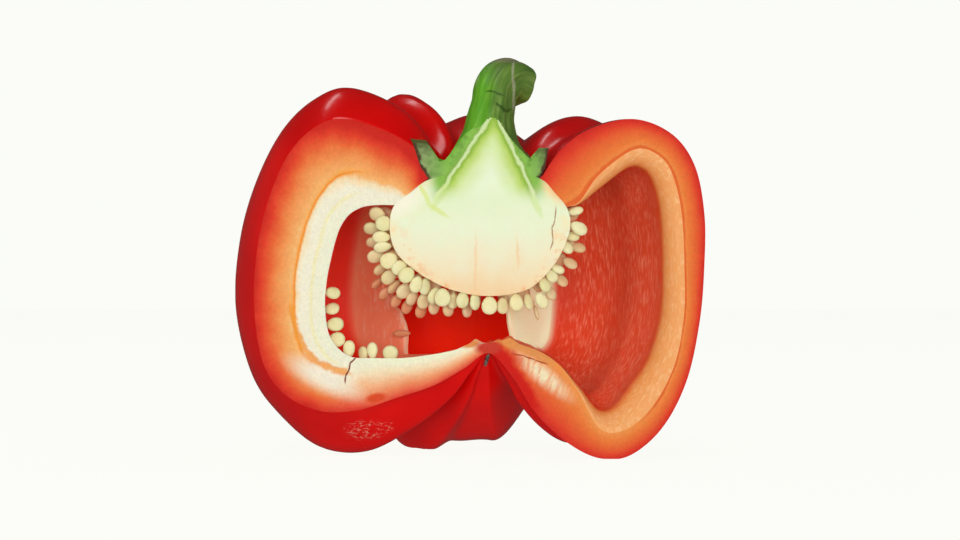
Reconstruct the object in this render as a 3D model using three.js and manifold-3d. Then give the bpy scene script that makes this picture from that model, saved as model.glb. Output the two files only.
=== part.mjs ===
// A ripe red bell pepper with its front cut away from stem to blossom end, standing on its lobes.
// Three pieces: the red wall with its ribs, the pale core with its seeds, and the green stem with its calyx.
// Millimetres, +Z up, the floor at z = 0, the knife cut a flat face towards -Y.

import * as THREE from "three";
import { mergeVertices } from "three/addons/utils/BufferGeometryUtils.js";
import Module from "manifold-3d";

const wasm = await Module();
wasm.setup();

const { clamp, degToRad, lerp, radToDeg, smoothstep } = THREE.MathUtils;

// The fruit's own axis stands at x = AXIS_X, and the cut face lies in the plane y = CUT_Y.
const AXIS_X = 4.21;
const CUT_Y = -24.36;
const GAP = 0.3;

// Half sections of the wall, as [radius from the axis, height], at matching landmarks from the stem cavity,
// over the shoulder and down the side, to the blossom end. The right section cuts through a lobe and the
// left one lies in the furrow beside a thick rib.
const RIGHT_SKIN = [
  [10.6, 56.2], [14.6, 61.9], [20.6, 66.1], [29.2, 68], [36.8, 65], [41.4, 58.6],
  [43.3, 49], [43.3, 39], [42.4, 27.8], [39.8, 15.8], [35, 6.4], [28.4, 0.7],
  [22, 0.2], [15.4, 3.6], [9.4, 9.4], [5, 16.2], [0, 21.2],
];
const RIGHT_CAVITY = [
  [15.6, 50.4], [18.6, 51], [23.2, 54.4], [28.6, 58.2], [32, 57.4], [33.9, 53.4],
  [34.8, 47], [35, 38], [34.6, 29], [32.4, 20.4], [28.8, 14.4], [25.4, 10],
  [22.2, 9.6], [18.4, 14.2], [13.6, 19.4], [7.4, 22.6], [0, 23.2],
];
// Where the flat cut of the right section ends: from here its inner edge rounds over into the cavity.
const RIGHT_LIP = [
  [15.6, 50.4], [18.4, 51.6], [22.4, 57], [29.6, 62], [35, 60], [37.6, 54.8],
  [38.9, 47.6], [39.3, 38], [39.2, 28.6], [37.3, 18.8], [33, 10.6], [27.6, 5.9],
  [22.4, 6], [18, 13.6], [13.6, 19.4], [7.4, 22.6], [0, 23.2],
];
const LIP_SPREAD = 8; // degrees over which the edge rounds over
const LEFT_SKIN = [
  [12.2, 56.2], [13.4, 61], [19.6, 65.3], [28.6, 68], [34.6, 66.4], [40, 60.8],
  [44, 51.6], [46.2, 41.8], [46.8, 31], [45.2, 19.8], [41, 13.2], [34, 9.7],
  [26.4, 9.7], [18.6, 12.1], [10.6, 14.8], [4.6, 18.2], [0, 21.2],
];
const LEFT_CAVITY = [
  [18.8, 50.8], [22, 50.8], [25, 50.4], [27.6, 49], [29.4, 46.6], [30.5, 43.6],
  [31.4, 40], [32.2, 36], [32.6, 31], [32, 25.6], [30.2, 22.4], [27.2, 20.4],
  [22.6, 20.2], [17, 20.2], [10.6, 21], [5.2, 22.1], [0, 23.2],
];

// How far the skin swells out of the blend of the two sections at each lobe and furrow, in mm:
// [azimuth in degrees, side, top, bottom, crease], with crease 0 for a crest, up to 1 for a sharp furrow.
const LOBES = [
  [0, 0, 0, 0, 0.2],
  [12, 0.7, 0.4, -0.3, 0],
  [29, -0.8, -0.6, -2.6, 0.3],
  [47, 1.6, 2.3, -0.4, 0],
  [70, -3.6, -2.7, -10, 0.85],
  [92, 3.8, 3.2, 3, 0],
  [109, 1, 0.6, 4.4, 0.3],
  [123, 6, 7.2, 7.7, 0],
  [137, -0.6, 0.4, -1.5, 0.9],
  [159, 8, 7.2, 8.8, 0],
  [180, 0, 0, 0, 1],
];
// Each landmark's share of the side, top and bottom swellings, pushed away from the chamber's middle.
const SWELL_SHARE = [
  [0, 0, 0], [0, 0.35, 0], [0, 0.75, 0], [0, 1, 0], [0.1, 0.9, 0], [0.5, 0.5, 0],
  [0.85, 0.15, 0], [1, 0, 0], [1, 0, 0], [0.65, 0, 0.2], [0.2, 0, 0.6], [0, 0, 1],
  [0, 0, 1], [0, 0, 0.75], [0, 0, 0.42], [0, 0, 0.14], [0, 0, 0],
];
// Each landmark's share of the creases, which grow shallow towards the blossom end.
const CREASE_SHARE = [1, 1, 1, 1, 1, 1, 1, 1, 1, 1, 0.9, 0.75, 0.5, 0.25, 0.1, 0, 0];
const CHAMBER_MIDDLE = [24, 34];
const FURROW_TWIST = 3.5; // degrees that a furrow leans, one way at the top and the other at the bottom
const SOFT_SIDE = 0.45; // how much of its crease a furrow keeps half way up
const RIB_SPREAD = 7; // degrees over which the cut rib on the left fades into the wall
const FLOOR_FROM = 13; // from this landmark on, beside the blossom end, one section's floor blends into the other's

const WALL_ROWS = 34;
const WALL_AZIMUTHS = [0, 1.2, 3.4, ...Array.from({ length: 44 }, (_, j) => 6.4 + 3.92 * j), 177.6, 180];

// The two ribs behind the cut, as sheets in a meridian plane: azimuth, the free edge as [radius, height],
// and the stretch of landmarks along the wall where the rib is rooted.
const RIBS = [
  {
    azimuth: 70,
    edge: [[11, 50], [11, 41], [10.5, 34], [11.6, 30], [13.6, 25], [16, 21], [18.5, 18]],
    rooted: [1.2, 13.2],
  },
  {
    azimuth: 134,
    edge: [[13, 50], [16, 43], [25, 37.5], [29, 34], [27, 30.5], [24.4, 27], [24.8, 20]],
    rooted: [1.2, 12.6],
  },
];
const RIB_ROOT_DEPTH = 2.5;
const RIB_HALF_THICKNESS = [2.6, 1.5, 1.25, 0.6];
const RIB_ROWS = 20;

// Half sections of the core, from the middle of its top round to the middle of its underside.
const CORE_RIGHT = [
  [0, 57.4], [7, 57], [10.9, 55.8], [13.4, 53.2], [15.8, 50.2], [16.5, 47], [15.6, 43.4], [13.2, 38.8],
  [8.8, 34.4], [4.2, 32.9], [0, 32.6],
];
const CORE_LEFT = [
  [0, 57.4], [7, 57], [12, 55.8], [15.5, 53.3], [18.9, 50.4], [19.6, 45.8], [18.2, 41.2], [14.2, 37.5],
  [9.4, 34.7], [4.4, 33.1], [0, 32.6],
];
const CORE_BACK_SHARE = 0.92; // the core is a little shallower than it is wide
const CORE_BULGE = { azimuth: 160, spread: 15, share: 0.12 }; // and swells just behind the cut on the left
const CORE_MIDDLE_HEIGHT = 46; // its surface faces away from a point on the axis at this height
const CORE_ROWS = 20;
const CORE_COLUMNS = 24;

// Seeds: flat discs that stand out of the core in rows parallel to the cut, and along the cut rib. The rows
// begin at a level of the core's half section, and run down it and up the other side.
const SEED = { out: 2.2, across: 1.85, thick: 1, stand: 1.4 };
const SEED_ROW_DEPTHS = [1.9, 5, 8, 11, 14, 17];
const SEED_PITCH = 3.1;
const SEED_FROM_LEVEL = 4.4;
const SEED_FREE_OF_RIB = 3;
const RIB_SEEDS = { from: 7.6, to: 12.7, count: 7, behindCut: 1.25 };

// The stem's middle line and radius from inside the calyx up to where it bends over: [x, y behind the cut,
// z, radius]. From there it turns over in an arc towards the back and the right, and widens to its cut end.
const STEM_PATH = [
  [0, 2.2, 59.8, 9], [0, 3.2, 61.6, 7.2], [0.1, 4.3, 64.4, 5.7], [0.3, 5, 68, 4.85], [0.9, 5.5, 71.2, 4.45],
];
const STEM_BEND = { turn: 122, radius: 5.3, azimuth: 50, endRadius: 4.7, steps: 4 };
const STEM_RIDGES = 5;
const STEM_RIDGE_HEIGHT = 0.05;
const STEM_ROWS = 26;
const STEM_COLUMNS = 40;
// The calyx's rings from below over its rim to the foot of the stalk: the radius less the wall's rim radius,
// the height, and the shares in which its teeth draw the ring out and up.
const CALYX_RINGS = [
  [-0.9, 55.2, 0, 0], [0.2, 57.2, 0.45, 0.3], [0.4, 59.2, 1, 1], [-0.9, 59.6, 0.35, 0.85],
  [-2.2, 60, 0, 0.05],
];
// Its torn teeth behind the cut: azimuth, reach out, reach up, and half width in degrees.
const CALYX_TEETH = [
  [-6, 1.2, 3, 15], [24, 0.6, 1.2, 9], [58, 1.5, 2.6, 15], [88, 0.5, 1, 9], [116, 1.6, 3, 17],
  [150, 0.4, 0.8, 9], [184, 2.6, 4.3, 17],
];

const WALL_COLOUR = 0xb80a08;
const CORE_COLOUR = 0xeee6b4;
const STEM_COLOUR = 0x5f9a2c;

// A point on a uniform Catmull-Rom curve through points, u counted in points, with its end tangents
// given by the two phantom points.
function curvePoint(points, u, before, after) {
  const last = points.length - 1;
  const k = Math.min(Math.floor(u), last - 1);
  const f = u - k;
  const previous = k > 0 ? points[k - 1] : before;
  const following = k + 2 <= last ? points[k + 2] : after;
  const near = [previous, points[k], points[k + 1], following];
  const weights = [
    (-f + 2 * f * f - f ** 3) / 2,
    (2 - 5 * f * f + 3 * f ** 3) / 2,
    (f + 4 * f * f - 3 * f ** 3) / 2,
    (-f * f + f ** 3) / 2,
  ];
  return points[0].map((_, c) => near.reduce((sum, p, i) => sum + weights[i] * p[c], 0));
}

// The same, with the end tangents straight on from the last two points.
function openCurve(points, u) {
  const last = points.length - 1;
  const onward = (a, b) => a.map((v, c) => 2 * v - b[c]);
  return curvePoint(points, u, onward(points[0], points[1]), onward(points[last], points[last - 1]));
}

// A half section that ends on the axis, where it crosses over level.
function sectionCurve(points, u) {
  const last = points.length - 1;
  const [r0, z0] = points[0];
  const [r1, z1] = points[1];
  const start = r0 === 0 ? [-r1, z1] : [2 * r0 - r1, 2 * z0 - z1];
  return curvePoint(points, u, start, [-points[last - 1][0], points[last - 1][1]]);
}

// Where a radius and height at an azimuth lie in the row frame. Azimuth 0 is the right section, 180 the left.
function place([radius, height], azimuth) {
  const a = degToRad(azimuth);
  const back = azimuth === 0 || azimuth === 180 ? 0 : radius * Math.sin(a);
  return [AXIS_X + radius * Math.cos(a), CUT_Y + back, height];
}

// Share of the left section at an azimuth, easing from 0 on the right to 1 on the left.
const leftShare = (azimuth) => (1 - Math.cos(degToRad(azimuth))) / 2;

// The side, top and bottom swellings in mm at an azimuth: each lobe rises from its furrow as a blend of a
// soft cosine and a quarter sine, which meets its neighbour in a crease. Creasing is the crease's share.
function swelling(azimuth, creasing) {
  const i = Math.max(1, LOBES.findIndex((row) => azimuth <= row[0]));
  const [low, high] = [LOBES[i - 1], LOBES[i]];
  const along = (azimuth - low[0]) / (high[0] - low[0]);
  const fromLow = low[4] > 0 || high[4] === 0;
  const u = fromLow ? along : 1 - along;
  const [furrow, crest] = fromLow ? [low, high] : [high, low];
  const rise = (share) => lerp((1 - Math.cos(Math.PI * u)) / 2, Math.sin((Math.PI * u) / 2), share);
  const crease = creasing * furrow[4];
  const softly = furrow[0] === 180 ? rise(crease) : rise(crease * SOFT_SIDE);
  const sharply = rise(crease);
  return [
    lerp(furrow[1], crest[1], softly),
    lerp(furrow[2], crest[2], sharply),
    lerp(furrow[3], crest[3], sharply),
  ];
}

// The skin's landmarks at an azimuth, grown outwards by grow.
function skinLandmarks(azimuth, grow) {
  return RIGHT_SKIN.map((right, k) => {
    const left = LEFT_SKIN[k];
    const share = leftShare(azimuth);
    const base = [lerp(right[0], left[0], share), lerp(right[1], left[1], share)];
    const out = new THREE.Vector2(base[0] - CHAMBER_MIDDLE[0], base[1] - CHAMBER_MIDDLE[1]).normalize();
    const lean = FURROW_TWIST * (SWELL_SHARE[k][1] - SWELL_SHARE[k][2]) * Math.sin(degToRad(azimuth));
    const swell = swelling(clamp(azimuth - lean, 0, 180), CREASE_SHARE[k]);
    const amount = SWELL_SHARE[k].reduce((sum, part, i) => sum + part * swell[i], 0) + (k < 16 ? grow : 0);
    return [base[0] + amount * out.x, base[1] + amount * out.y];
  });
}

// The cavity's landmarks lie under the skin's by the thickness that the sections show: the right section's
// lip in a quarter round to its full thickness, and near the left section the rib's.
function cavityLandmarks(azimuth, grow) {
  const lip = 1 - Math.sqrt(1 - Math.max(0, 1 - azimuth / LIP_SPREAD) ** 2);
  return skinLandmarks(azimuth, 0).map(([radius, height], k) => {
    const rib = k < FLOOR_FROM ? Math.exp(-(((180 - azimuth) / RIB_SPREAD) ** 2)) : leftShare(azimuth);
    const inward = [0, 1].map((c) => {
      const right = lerp(RIGHT_CAVITY[k][c], RIGHT_LIP[k][c], lip) - RIGHT_SKIN[k][c];
      return lerp(right, LEFT_CAVITY[k][c] - LEFT_SKIN[k][c], rib);
    });
    const share = 1 + grow / Math.hypot(...inward);
    return [radius + share * inward[0], height + share * inward[1]];
  });
}

// A manifold solid from points and triangles, with shared points merged and empty triangles dropped.
function solidOf(points, triangles) {
  const geometry = new THREE.BufferGeometry();
  geometry.setAttribute("position", new THREE.Float32BufferAttribute(points.flat(), 3));
  geometry.setIndex(triangles.flat());
  return solidOfGeometry(geometry);
}

function solidOfGeometry(geometry) {
  geometry.deleteAttribute("normal");
  geometry.deleteAttribute("uv");
  const merged = mergeVertices(geometry, 1e-4);
  const index = merged.index.array;
  const kept = [];
  for (let i = 0; i < index.length; i += 3) {
    const [a, b, c] = index.slice(i, i + 3);
    if (a !== b && b !== c && a !== c) kept.push(a, b, c);
  }
  const vertProperties = merged.attributes.position.array;
  return new wasm.Manifold(new wasm.Mesh({ numProp: 3, vertProperties, triVerts: new Uint32Array(kept) }));
}

const quad = (a, b, c, d) => [[a, b, c], [a, c, d]];

// A quad split along its shorter diagonal.
function evenQuad(points, a, b, c, d) {
  const across = (p, q) => Math.hypot(...points[p].map((v, i) => v - points[q][i]));
  return across(a, c) <= across(b, d) ? quad(a, b, c, d) : quad(b, c, d, a);
}

// Half the wall: a skin grid and a cavity grid over azimuths 0 to 180, closed by the two cut faces and by
// the rim round the core. Nothing reaches below the floor, which leaves a flat spot under each lobe.
function wallSolid(grow = 0) {
  const points = [];
  const triangles = [];
  const columns = WALL_AZIMUTHS;
  const far = columns.length - 1;
  const at = (side, row, column) => (side * (WALL_ROWS + 1) + row) * columns.length + column;
  const last = RIGHT_SKIN.length - 1;
  const landmarks = [skinLandmarks, cavityLandmarks];
  const profiles = landmarks.map((f) => columns.map((azimuth) => f(azimuth, grow)));
  for (const side of [0, 1]) {
    for (let i = 0; i <= WALL_ROWS; i++) {
      columns.forEach((azimuth, j) => {
        const [radius, height] = sectionCurve(profiles[side][j], (last * i) / WALL_ROWS);
        points.push(place([Math.max(radius, 0), Math.max(height, -grow)], azimuth));
      });
    }
  }
  for (let i = 0; i < WALL_ROWS; i++) {
    for (let j = 0; j < far; j++) {
      triangles.push(...evenQuad(points, at(0, i, j), at(0, i + 1, j), at(0, i + 1, j + 1), at(0, i, j + 1)));
      triangles.push(...evenQuad(points, at(1, i, j), at(1, i, j + 1), at(1, i + 1, j + 1), at(1, i + 1, j)));
    }
    triangles.push(...quad(at(0, i, 0), at(1, i, 0), at(1, i + 1, 0), at(0, i + 1, 0)));
    triangles.push(...quad(at(0, i, far), at(0, i + 1, far), at(1, i + 1, far), at(1, i, far)));
  }
  for (let j = 0; j < far; j++) {
    triangles.push(...quad(at(0, 0, j), at(0, 0, j + 1), at(1, 0, j + 1), at(1, 0, j)));
  }
  return solidOf(points, triangles);
}

// A rib: a sheet in a meridian plane from inside the wall to its free edge, thickest at its root.
function ribSolid({ azimuth, edge, rooted }) {
  const points = [];
  const triangles = [];
  const across = RIB_HALF_THICKNESS.length;
  const cavity = cavityLandmarks(azimuth, -RIB_ROOT_DEPTH);
  const a = degToRad(azimuth);
  const sideways = [-Math.sin(a), Math.cos(a)];
  const at = (side, row, step) => (side * (RIB_ROWS + 1) + row) * across + step;
  for (const side of [0, 1]) {
    for (let i = 0; i <= RIB_ROWS; i++) {
      const s = i / RIB_ROWS;
      const root = sectionCurve(cavity, lerp(rooted[0], rooted[1], s));
      const free = openCurve(edge, s * (edge.length - 1));
      RIB_HALF_THICKNESS.forEach((half, step) => {
        const v = step / (across - 1);
        const [x, y, z] = place([lerp(root[0], free[0], v), lerp(root[1], free[1], v)], azimuth);
        const offset = side ? half : -half;
        points.push([x + sideways[0] * offset, y + sideways[1] * offset, z]);
      });
    }
  }
  for (let i = 0; i < RIB_ROWS; i++) {
    for (let step = 0; step < across - 1; step++) {
      triangles.push(...quad(at(0, i, step), at(0, i + 1, step), at(0, i + 1, step + 1), at(0, i, step + 1)));
      triangles.push(...quad(at(1, i, step), at(1, i, step + 1), at(1, i + 1, step + 1), at(1, i + 1, step)));
    }
    const end = across - 1;
    triangles.push(...quad(at(0, i, 0), at(1, i, 0), at(1, i + 1, 0), at(0, i + 1, 0)));
    triangles.push(...quad(at(0, i, end), at(0, i + 1, end), at(1, i + 1, end), at(1, i, end)));
  }
  for (let step = 0; step < across - 1; step++) {
    const low = RIB_ROWS;
    triangles.push(...quad(at(0, 0, step), at(0, 0, step + 1), at(1, 0, step + 1), at(1, 0, step)));
    triangles.push(...quad(at(0, low, step), at(1, low, step), at(1, low, step + 1), at(0, low, step + 1)));
  }
  const made = solidOf(points, triangles);
  return made.volume() < 0 ? solidOf(points, triangles.map(([p, q, r]) => [p, r, q])) : made;
}

// The core's landmarks at an azimuth.
function coreLandmarks(azimuth, grow) {
  const share = leftShare(azimuth);
  const bulge = CORE_BULGE.share * Math.exp(-(((azimuth - CORE_BULGE.azimuth) / CORE_BULGE.spread) ** 2));
  const behind = Math.sin(degToRad(azimuth));
  const back = lerp(1, CORE_BACK_SHARE, behind) + bulge * behind ** 0.3;
  return CORE_RIGHT.map((right, k) => {
    const radius = lerp(right[0], CORE_LEFT[k][0], share) * back;
    const height = lerp(right[1], CORE_LEFT[k][1], share);
    const out = new THREE.Vector2(radius, height - CORE_MIDDLE_HEIGHT).setLength(grow);
    return [radius + (radius > 0 ? out.x : 0), height + out.y];
  });
}

// Half the core: a domed body over azimuths 0 to 180, closed by its flat cut face.
function coreSolid(grow = 0) {
  const points = [];
  const triangles = [];
  const at = (row, column) => row * (CORE_COLUMNS + 1) + column;
  const last = CORE_RIGHT.length - 1;
  for (let i = 0; i <= CORE_ROWS; i++) {
    for (let j = 0; j <= CORE_COLUMNS; j++) {
      const azimuth = (180 * j) / CORE_COLUMNS;
      const [radius, height] = sectionCurve(coreLandmarks(azimuth, grow), (last * i) / CORE_ROWS);
      points.push(place([Math.max(radius, 0), height], azimuth));
    }
  }
  for (let i = 0; i < CORE_ROWS; i++) {
    for (let j = 0; j < CORE_COLUMNS; j++) {
      triangles.push(...evenQuad(points, at(i, j), at(i + 1, j), at(i + 1, j + 1), at(i, j + 1)));
    }
    triangles.push(...quad(at(i, 0), at(i, CORE_COLUMNS), at(i + 1, CORE_COLUMNS), at(i + 1, 0)));
  }
  return solidOf(points, triangles);
}

// A repeatable draw from 0 to 1 for whole number n.
const draw = (n) => {
  const s = Math.sin(n * 12.9898 + 4.1414) * 43758.5453;
  return s - Math.floor(s);
};

// One seed: a flattened ball that stands out of the flesh at origin along out, its flat side turned by roll.
function seedSolid(origin, out, roll, grow) {
  const geometry = new THREE.OctahedronGeometry(1, 1);
  geometry.scale(SEED.across + grow, SEED.thick + grow, SEED.out + grow);
  geometry.rotateZ(roll);
  geometry.translate(0, 0, SEED.stand);
  const outward = new THREE.Vector3(...out).normalize();
  geometry.applyQuaternion(new THREE.Quaternion().setFromUnitVectors(new THREE.Vector3(0, 0, 1), outward));
  geometry.translate(...origin);
  return solidOfGeometry(geometry);
}

// A seed on a landmark profile at an azimuth, pointing straight out of the flesh.
function seedOn(landmarks, azimuth, level, roll, grow = 0) {
  const inner = place(sectionCurve(landmarks(azimuth, 0), level), azimuth);
  const outer = place(sectionCurve(landmarks(azimuth, 1), level), azimuth);
  return seedSolid(inner, outer.map((v, c) => v - inner[c]), roll, grow);
}

// Whether a seed would stand where a rib meets the core.
function nearRib(rib, azimuth, radius) {
  const nearest = Math.min(...rib.edge.map(([r]) => r));
  const across = degToRad(Math.abs(azimuth - rib.azimuth)) * radius;
  return across < SEED_FREE_OF_RIB && radius > nearest - SEED_FREE_OF_RIB;
}

// Seeds in rows parallel to the cut, from one side of the core down under it and up the other side.
// They leave the ribs free.
function coreSeeds(grow = 0) {
  const seeds = [];
  const last = CORE_RIGHT.length - 1;
  SEED_ROW_DEPTHS.forEach((depth, row) => {
    for (const side of [0, 180]) {
      const half = coreLandmarks(side, 0);
      const step = 0.1;
      let walked = (SEED_PITCH * (row % 2)) / 2;
      for (let level = SEED_FROM_LEVEL; level < last; level += step) {
        const here = sectionCurve(half, level);
        const next = sectionCurve(half, level + step);
        walked += Math.hypot(next[0] - here[0], next[1] - here[1]);
        if (walked < SEED_PITCH) continue;
        walked -= SEED_PITCH;
        const n = row * 60 + side + seeds.length;
        const radius = here[0] * lerp(1, CORE_BACK_SHARE, Math.min(1, depth / Math.max(here[0], 0.01)));
        const lean = radToDeg(Math.asin(Math.min(1, depth / radius)));
        const azimuth = Math.abs(side - lean) + 3 * (draw(n) - 0.5);
        if (radius < depth || RIBS.some((rib) => nearRib(rib, azimuth, radius))) continue;
        const roll = Math.PI * 0.8 * (draw(n + 900) - 0.5);
        seeds.push(seedOn(coreLandmarks, azimuth, level + 0.2 * (draw(n + 500) - 0.5), roll, grow));
      }
    }
  });
  return seeds;
}

// Seeds along the inner edge of the cut rib on the left.
function ribSeeds() {
  const { from, to, count, behindCut } = RIB_SEEDS;
  return Array.from({ length: count }, (_, i) => {
    const level = lerp(from, to, i / (count - 1));
    const radius = sectionCurve(LEFT_CAVITY, level)[0];
    const azimuth = 180 - radToDeg(behindCut / radius);
    return seedOn(cavityLandmarks, azimuth, level, 0.7 * (draw(i + 1700) - 0.5));
  });
}

const front = new THREE.BoxGeometry(300, 100, 300);
front.translate(0, CUT_Y - 50, 0);
const cutAway = solidOfGeometry(front);

const fuse = (solids) => solids.reduce((whole, next) => whole.add(next));
const largest = (solid) => solid.decompose().sort((a, b) => b.volume() - a.volume())[0];

// The stem's middle line with its bend, as one list of [x, y behind the cut, z, radius].
function stemLine() {
  const [x, y, z, radius] = STEM_PATH[STEM_PATH.length - 1];
  const { turn, radius: bend, azimuth, endRadius, steps } = STEM_BEND;
  const towards = degToRad(azimuth);
  const arc = Array.from({ length: steps }, (_, k) => {
    const a = degToRad((turn * (k + 1)) / steps);
    const over = bend * (1 - Math.cos(a));
    const widen = lerp(radius, endRadius, (k + 1) / steps);
    return [x + over * Math.cos(towards), y + over * Math.sin(towards), z + bend * Math.sin(a), widen];
  });
  return [...STEM_PATH, ...arc];
}

// How far the calyx's teeth reach out and up at an azimuth: each is a flat-topped bell.
function calyxTooth(azimuth) {
  const reach = [0, 0];
  for (const [middle, out, up, half] of CALYX_TEETH) {
    const off = (((azimuth - middle + 540) % 360) - 180) / half;
    const bell = Math.exp(-(off ** 4));
    reach[0] = Math.max(reach[0], out * bell);
    reach[1] = Math.max(reach[1], up * bell);
  }
  return reach;
}

// The stem with its calyx: one run of rings from under the middle of the calyx, out to its toothed rim,
// back in over its top and up the hooked stem to the end.
function stemSolid() {
  const rings = [];
  const angles = Array.from({ length: STEM_COLUMNS }, (_, j) => (360 * j) / STEM_COLUMNS);
  const rim = (azimuth) => lerp(RIGHT_SKIN[0][0], LEFT_SKIN[0][0], leftShare(azimuth));
  for (const [offset, height, outShare, upShare] of CALYX_RINGS) {
    rings.push(
      angles.map((azimuth) => {
        const [out, up] = calyxTooth(azimuth);
        return place([rim(azimuth) + offset + out * outShare, height + up * upShare], azimuth);
      }),
    );
  }
  const line = stemLine();
  const last = line.length - 1;
  for (let i = 0; i <= STEM_ROWS; i++) {
    const u = (last * i) / STEM_ROWS;
    const [x, y, z, radius] = openCurve(line, u);
    const [ahead, behind] = [Math.min(u + 0.05, last), Math.max(u - 0.05, 0)].map((v) => openCurve(line, v));
    const along = new THREE.Vector3(...[0, 1, 2].map((c) => ahead[c] - behind[c])).normalize();
    along.lerp(new THREE.Vector3(0, 0, 1), 1 - smoothstep(u, 0, 2)).normalize();
    const turn = new THREE.Quaternion().setFromUnitVectors(new THREE.Vector3(0, 0, 1), along);
    rings.push(
      angles.map((angle) => {
        const a = degToRad(angle);
        const r = radius * (1 + STEM_RIDGE_HEIGHT * Math.cos(STEM_RIDGES * a));
        const p = new THREE.Vector3(r * Math.cos(a), r * Math.sin(a), 0).applyQuaternion(turn);
        return [AXIS_X + x + p.x, CUT_Y + y + p.y, z + p.z];
      }),
    );
  }
  const points = rings.flat();
  const count = STEM_COLUMNS;
  const triangles = [];
  for (let i = 0; i < rings.length - 1; i++) {
    for (let j = 0; j < count; j++) {
      const k = (j + 1) % count;
      triangles.push(...quad(i * count + j, i * count + k, (i + 1) * count + k, (i + 1) * count + j));
    }
  }
  const top = (rings.length - 1) * count;
  points.push([AXIS_X, CUT_Y, CORE_RIGHT[0][1] + GAP]);
  const end = line[last];
  points.push([AXIS_X + end[0], CUT_Y + end[1], end[2]]);
  for (let j = 0; j < count; j++) {
    const k = (j + 1) % count;
    triangles.push([points.length - 2, k, j], [points.length - 1, top + j, top + k]);
  }
  return solidOf(points, triangles);
}

function mesh(name, solid, colour, roughness) {
  const { vertProperties, triVerts, numProp } = solid.getMesh();
  const positions = [];
  for (let i = 0; i < vertProperties.length; i += numProp) positions.push(...vertProperties.slice(i, i + 3));
  const geometry = new THREE.BufferGeometry();
  geometry.setAttribute("position", new THREE.Float32BufferAttribute(positions, 3));
  geometry.setIndex(Array.from(triVerts));
  const material = new THREE.MeshStandardMaterial({ color: colour, roughness, metalness: 0 });
  const made = new THREE.Mesh(geometry, material);
  made.name = name;
  return made;
}

const core = largest(fuse([coreSolid(), ...coreSeeds()]).subtract(cutAway));
const clearOfCore = fuse([coreSolid(GAP), ...coreSeeds(GAP)]);
const wholeWall = fuse([wallSolid(), ...RIBS.map(ribSolid), ...ribSeeds()]);
const wall = largest(wholeWall.subtract(cutAway).subtract(clearOfCore));
const stem = largest(stemSolid().subtract(cutAway).subtract(wallSolid(GAP)).subtract(coreSolid(GAP)));

const pepper = new THREE.Group();
pepper.add(
  mesh("wall", wall, WALL_COLOUR, 0.25),
  mesh("core", core, CORE_COLOUR, 0.5),
  mesh("stem", stem, STEM_COLOUR, 0.5),
);

export default pepper;
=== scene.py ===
"""A ripe red bell pepper cut open from stem to blossom end, standing on its lobes, the cut face forward."""

import math

import bpy
import numpy as np
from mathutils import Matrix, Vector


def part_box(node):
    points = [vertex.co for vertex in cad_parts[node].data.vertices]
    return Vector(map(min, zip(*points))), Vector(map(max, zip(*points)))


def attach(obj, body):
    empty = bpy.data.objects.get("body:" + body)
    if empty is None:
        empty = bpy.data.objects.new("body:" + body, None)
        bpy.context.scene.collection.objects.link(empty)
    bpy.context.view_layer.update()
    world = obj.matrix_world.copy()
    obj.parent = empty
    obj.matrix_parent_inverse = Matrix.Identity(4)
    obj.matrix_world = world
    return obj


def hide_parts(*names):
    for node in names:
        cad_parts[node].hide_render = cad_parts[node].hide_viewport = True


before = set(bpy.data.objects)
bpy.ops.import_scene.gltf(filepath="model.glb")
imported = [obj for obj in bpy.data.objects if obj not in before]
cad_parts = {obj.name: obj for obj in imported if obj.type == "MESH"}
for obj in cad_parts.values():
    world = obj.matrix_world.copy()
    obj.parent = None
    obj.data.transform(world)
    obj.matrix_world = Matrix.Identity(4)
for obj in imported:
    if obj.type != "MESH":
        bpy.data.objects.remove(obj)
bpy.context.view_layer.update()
scene = bpy.context.scene
scene.view_settings.view_transform = "Standard"

# The viewpoint: level and square to the cut face. The fruit's own axis stands at AXIS_X and the knife cut
# lies in the plane CUT_Y, in mm in the row frame.
MM = 0.001
AXIS_X = 4.21
CUT_Y = -24.36
CAMERA_AWAY = 400
CAMERA_RIGHT = -1.6
CAMERA_HEIGHT = 37.8
LENS = 75
SENSOR = 36

camera_data = bpy.data.cameras.new("camera")
camera_data.lens = LENS
camera_data.sensor_width = SENSOR
camera = bpy.data.objects.new("camera", camera_data)
camera.location = ((AXIS_X + CAMERA_RIGHT) * MM, (CUT_Y - CAMERA_AWAY) * MM, CAMERA_HEIGHT * MM)
camera.rotation_euler = (math.pi / 2, 0, 0)
bpy.context.collection.objects.link(camera)
scene.camera = camera

# The table and the light: a white sheet that glows like the paper round it, so that hardly a shadow shows,
# white surroundings that the skin mirrors at its edges, and soft lamps in front and above.
PAPER = "#FBFCF7"
TABLE_HALF = 1.5  # metres
TABLE_GLOW = 0.965
TABLE_BOUNCE = 0.6  # the share of its glow that lights the fruit
WORLD_FRONT = 0.1
WORLD_BACK = 0.8
WORLD_TOP = 0.5
WORLD_MIRRORED = 0.07  # the share of it that glossy surfaces mirror
LAMPS_AIM = (0, 0, 0.04)  # metres
LAMPS = (
    # name, place in metres, width, depth, watts, whether glossy surfaces mirror it
    ("front lamp", (0.05, -1.15, 0.16), 1.2, 0.4, 10.5, False),
    ("right lamp", (0.8, -0.7, 0.3), 0.5, 0.5, 0.6, False),
    ("left lamp", (-0.8, -0.5, 0.15), 0.5, 0.5, 1.5, False),
    ("soft box over the front", (-0.15, -0.6, 0.95), 0.34, 0.22, 1.6, True),
    ("strip over the shoulder", (-0.3, 0.3, 0.9), 0.3, 0.08, 0.5, True),
)


def colour(text):
    """The linear colour of an sRGB hex value: each channel is divided by 12.92 near black, and elsewhere
    raised to 2.4 after an offset."""
    channels = [int(text[i : i + 2], 16) / 255 for i in (1, 3, 5)]
    return (*[c / 12.92 if c <= 0.04045 else ((c + 0.055) / 1.055) ** 2.4 for c in channels], 1.0)


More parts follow.
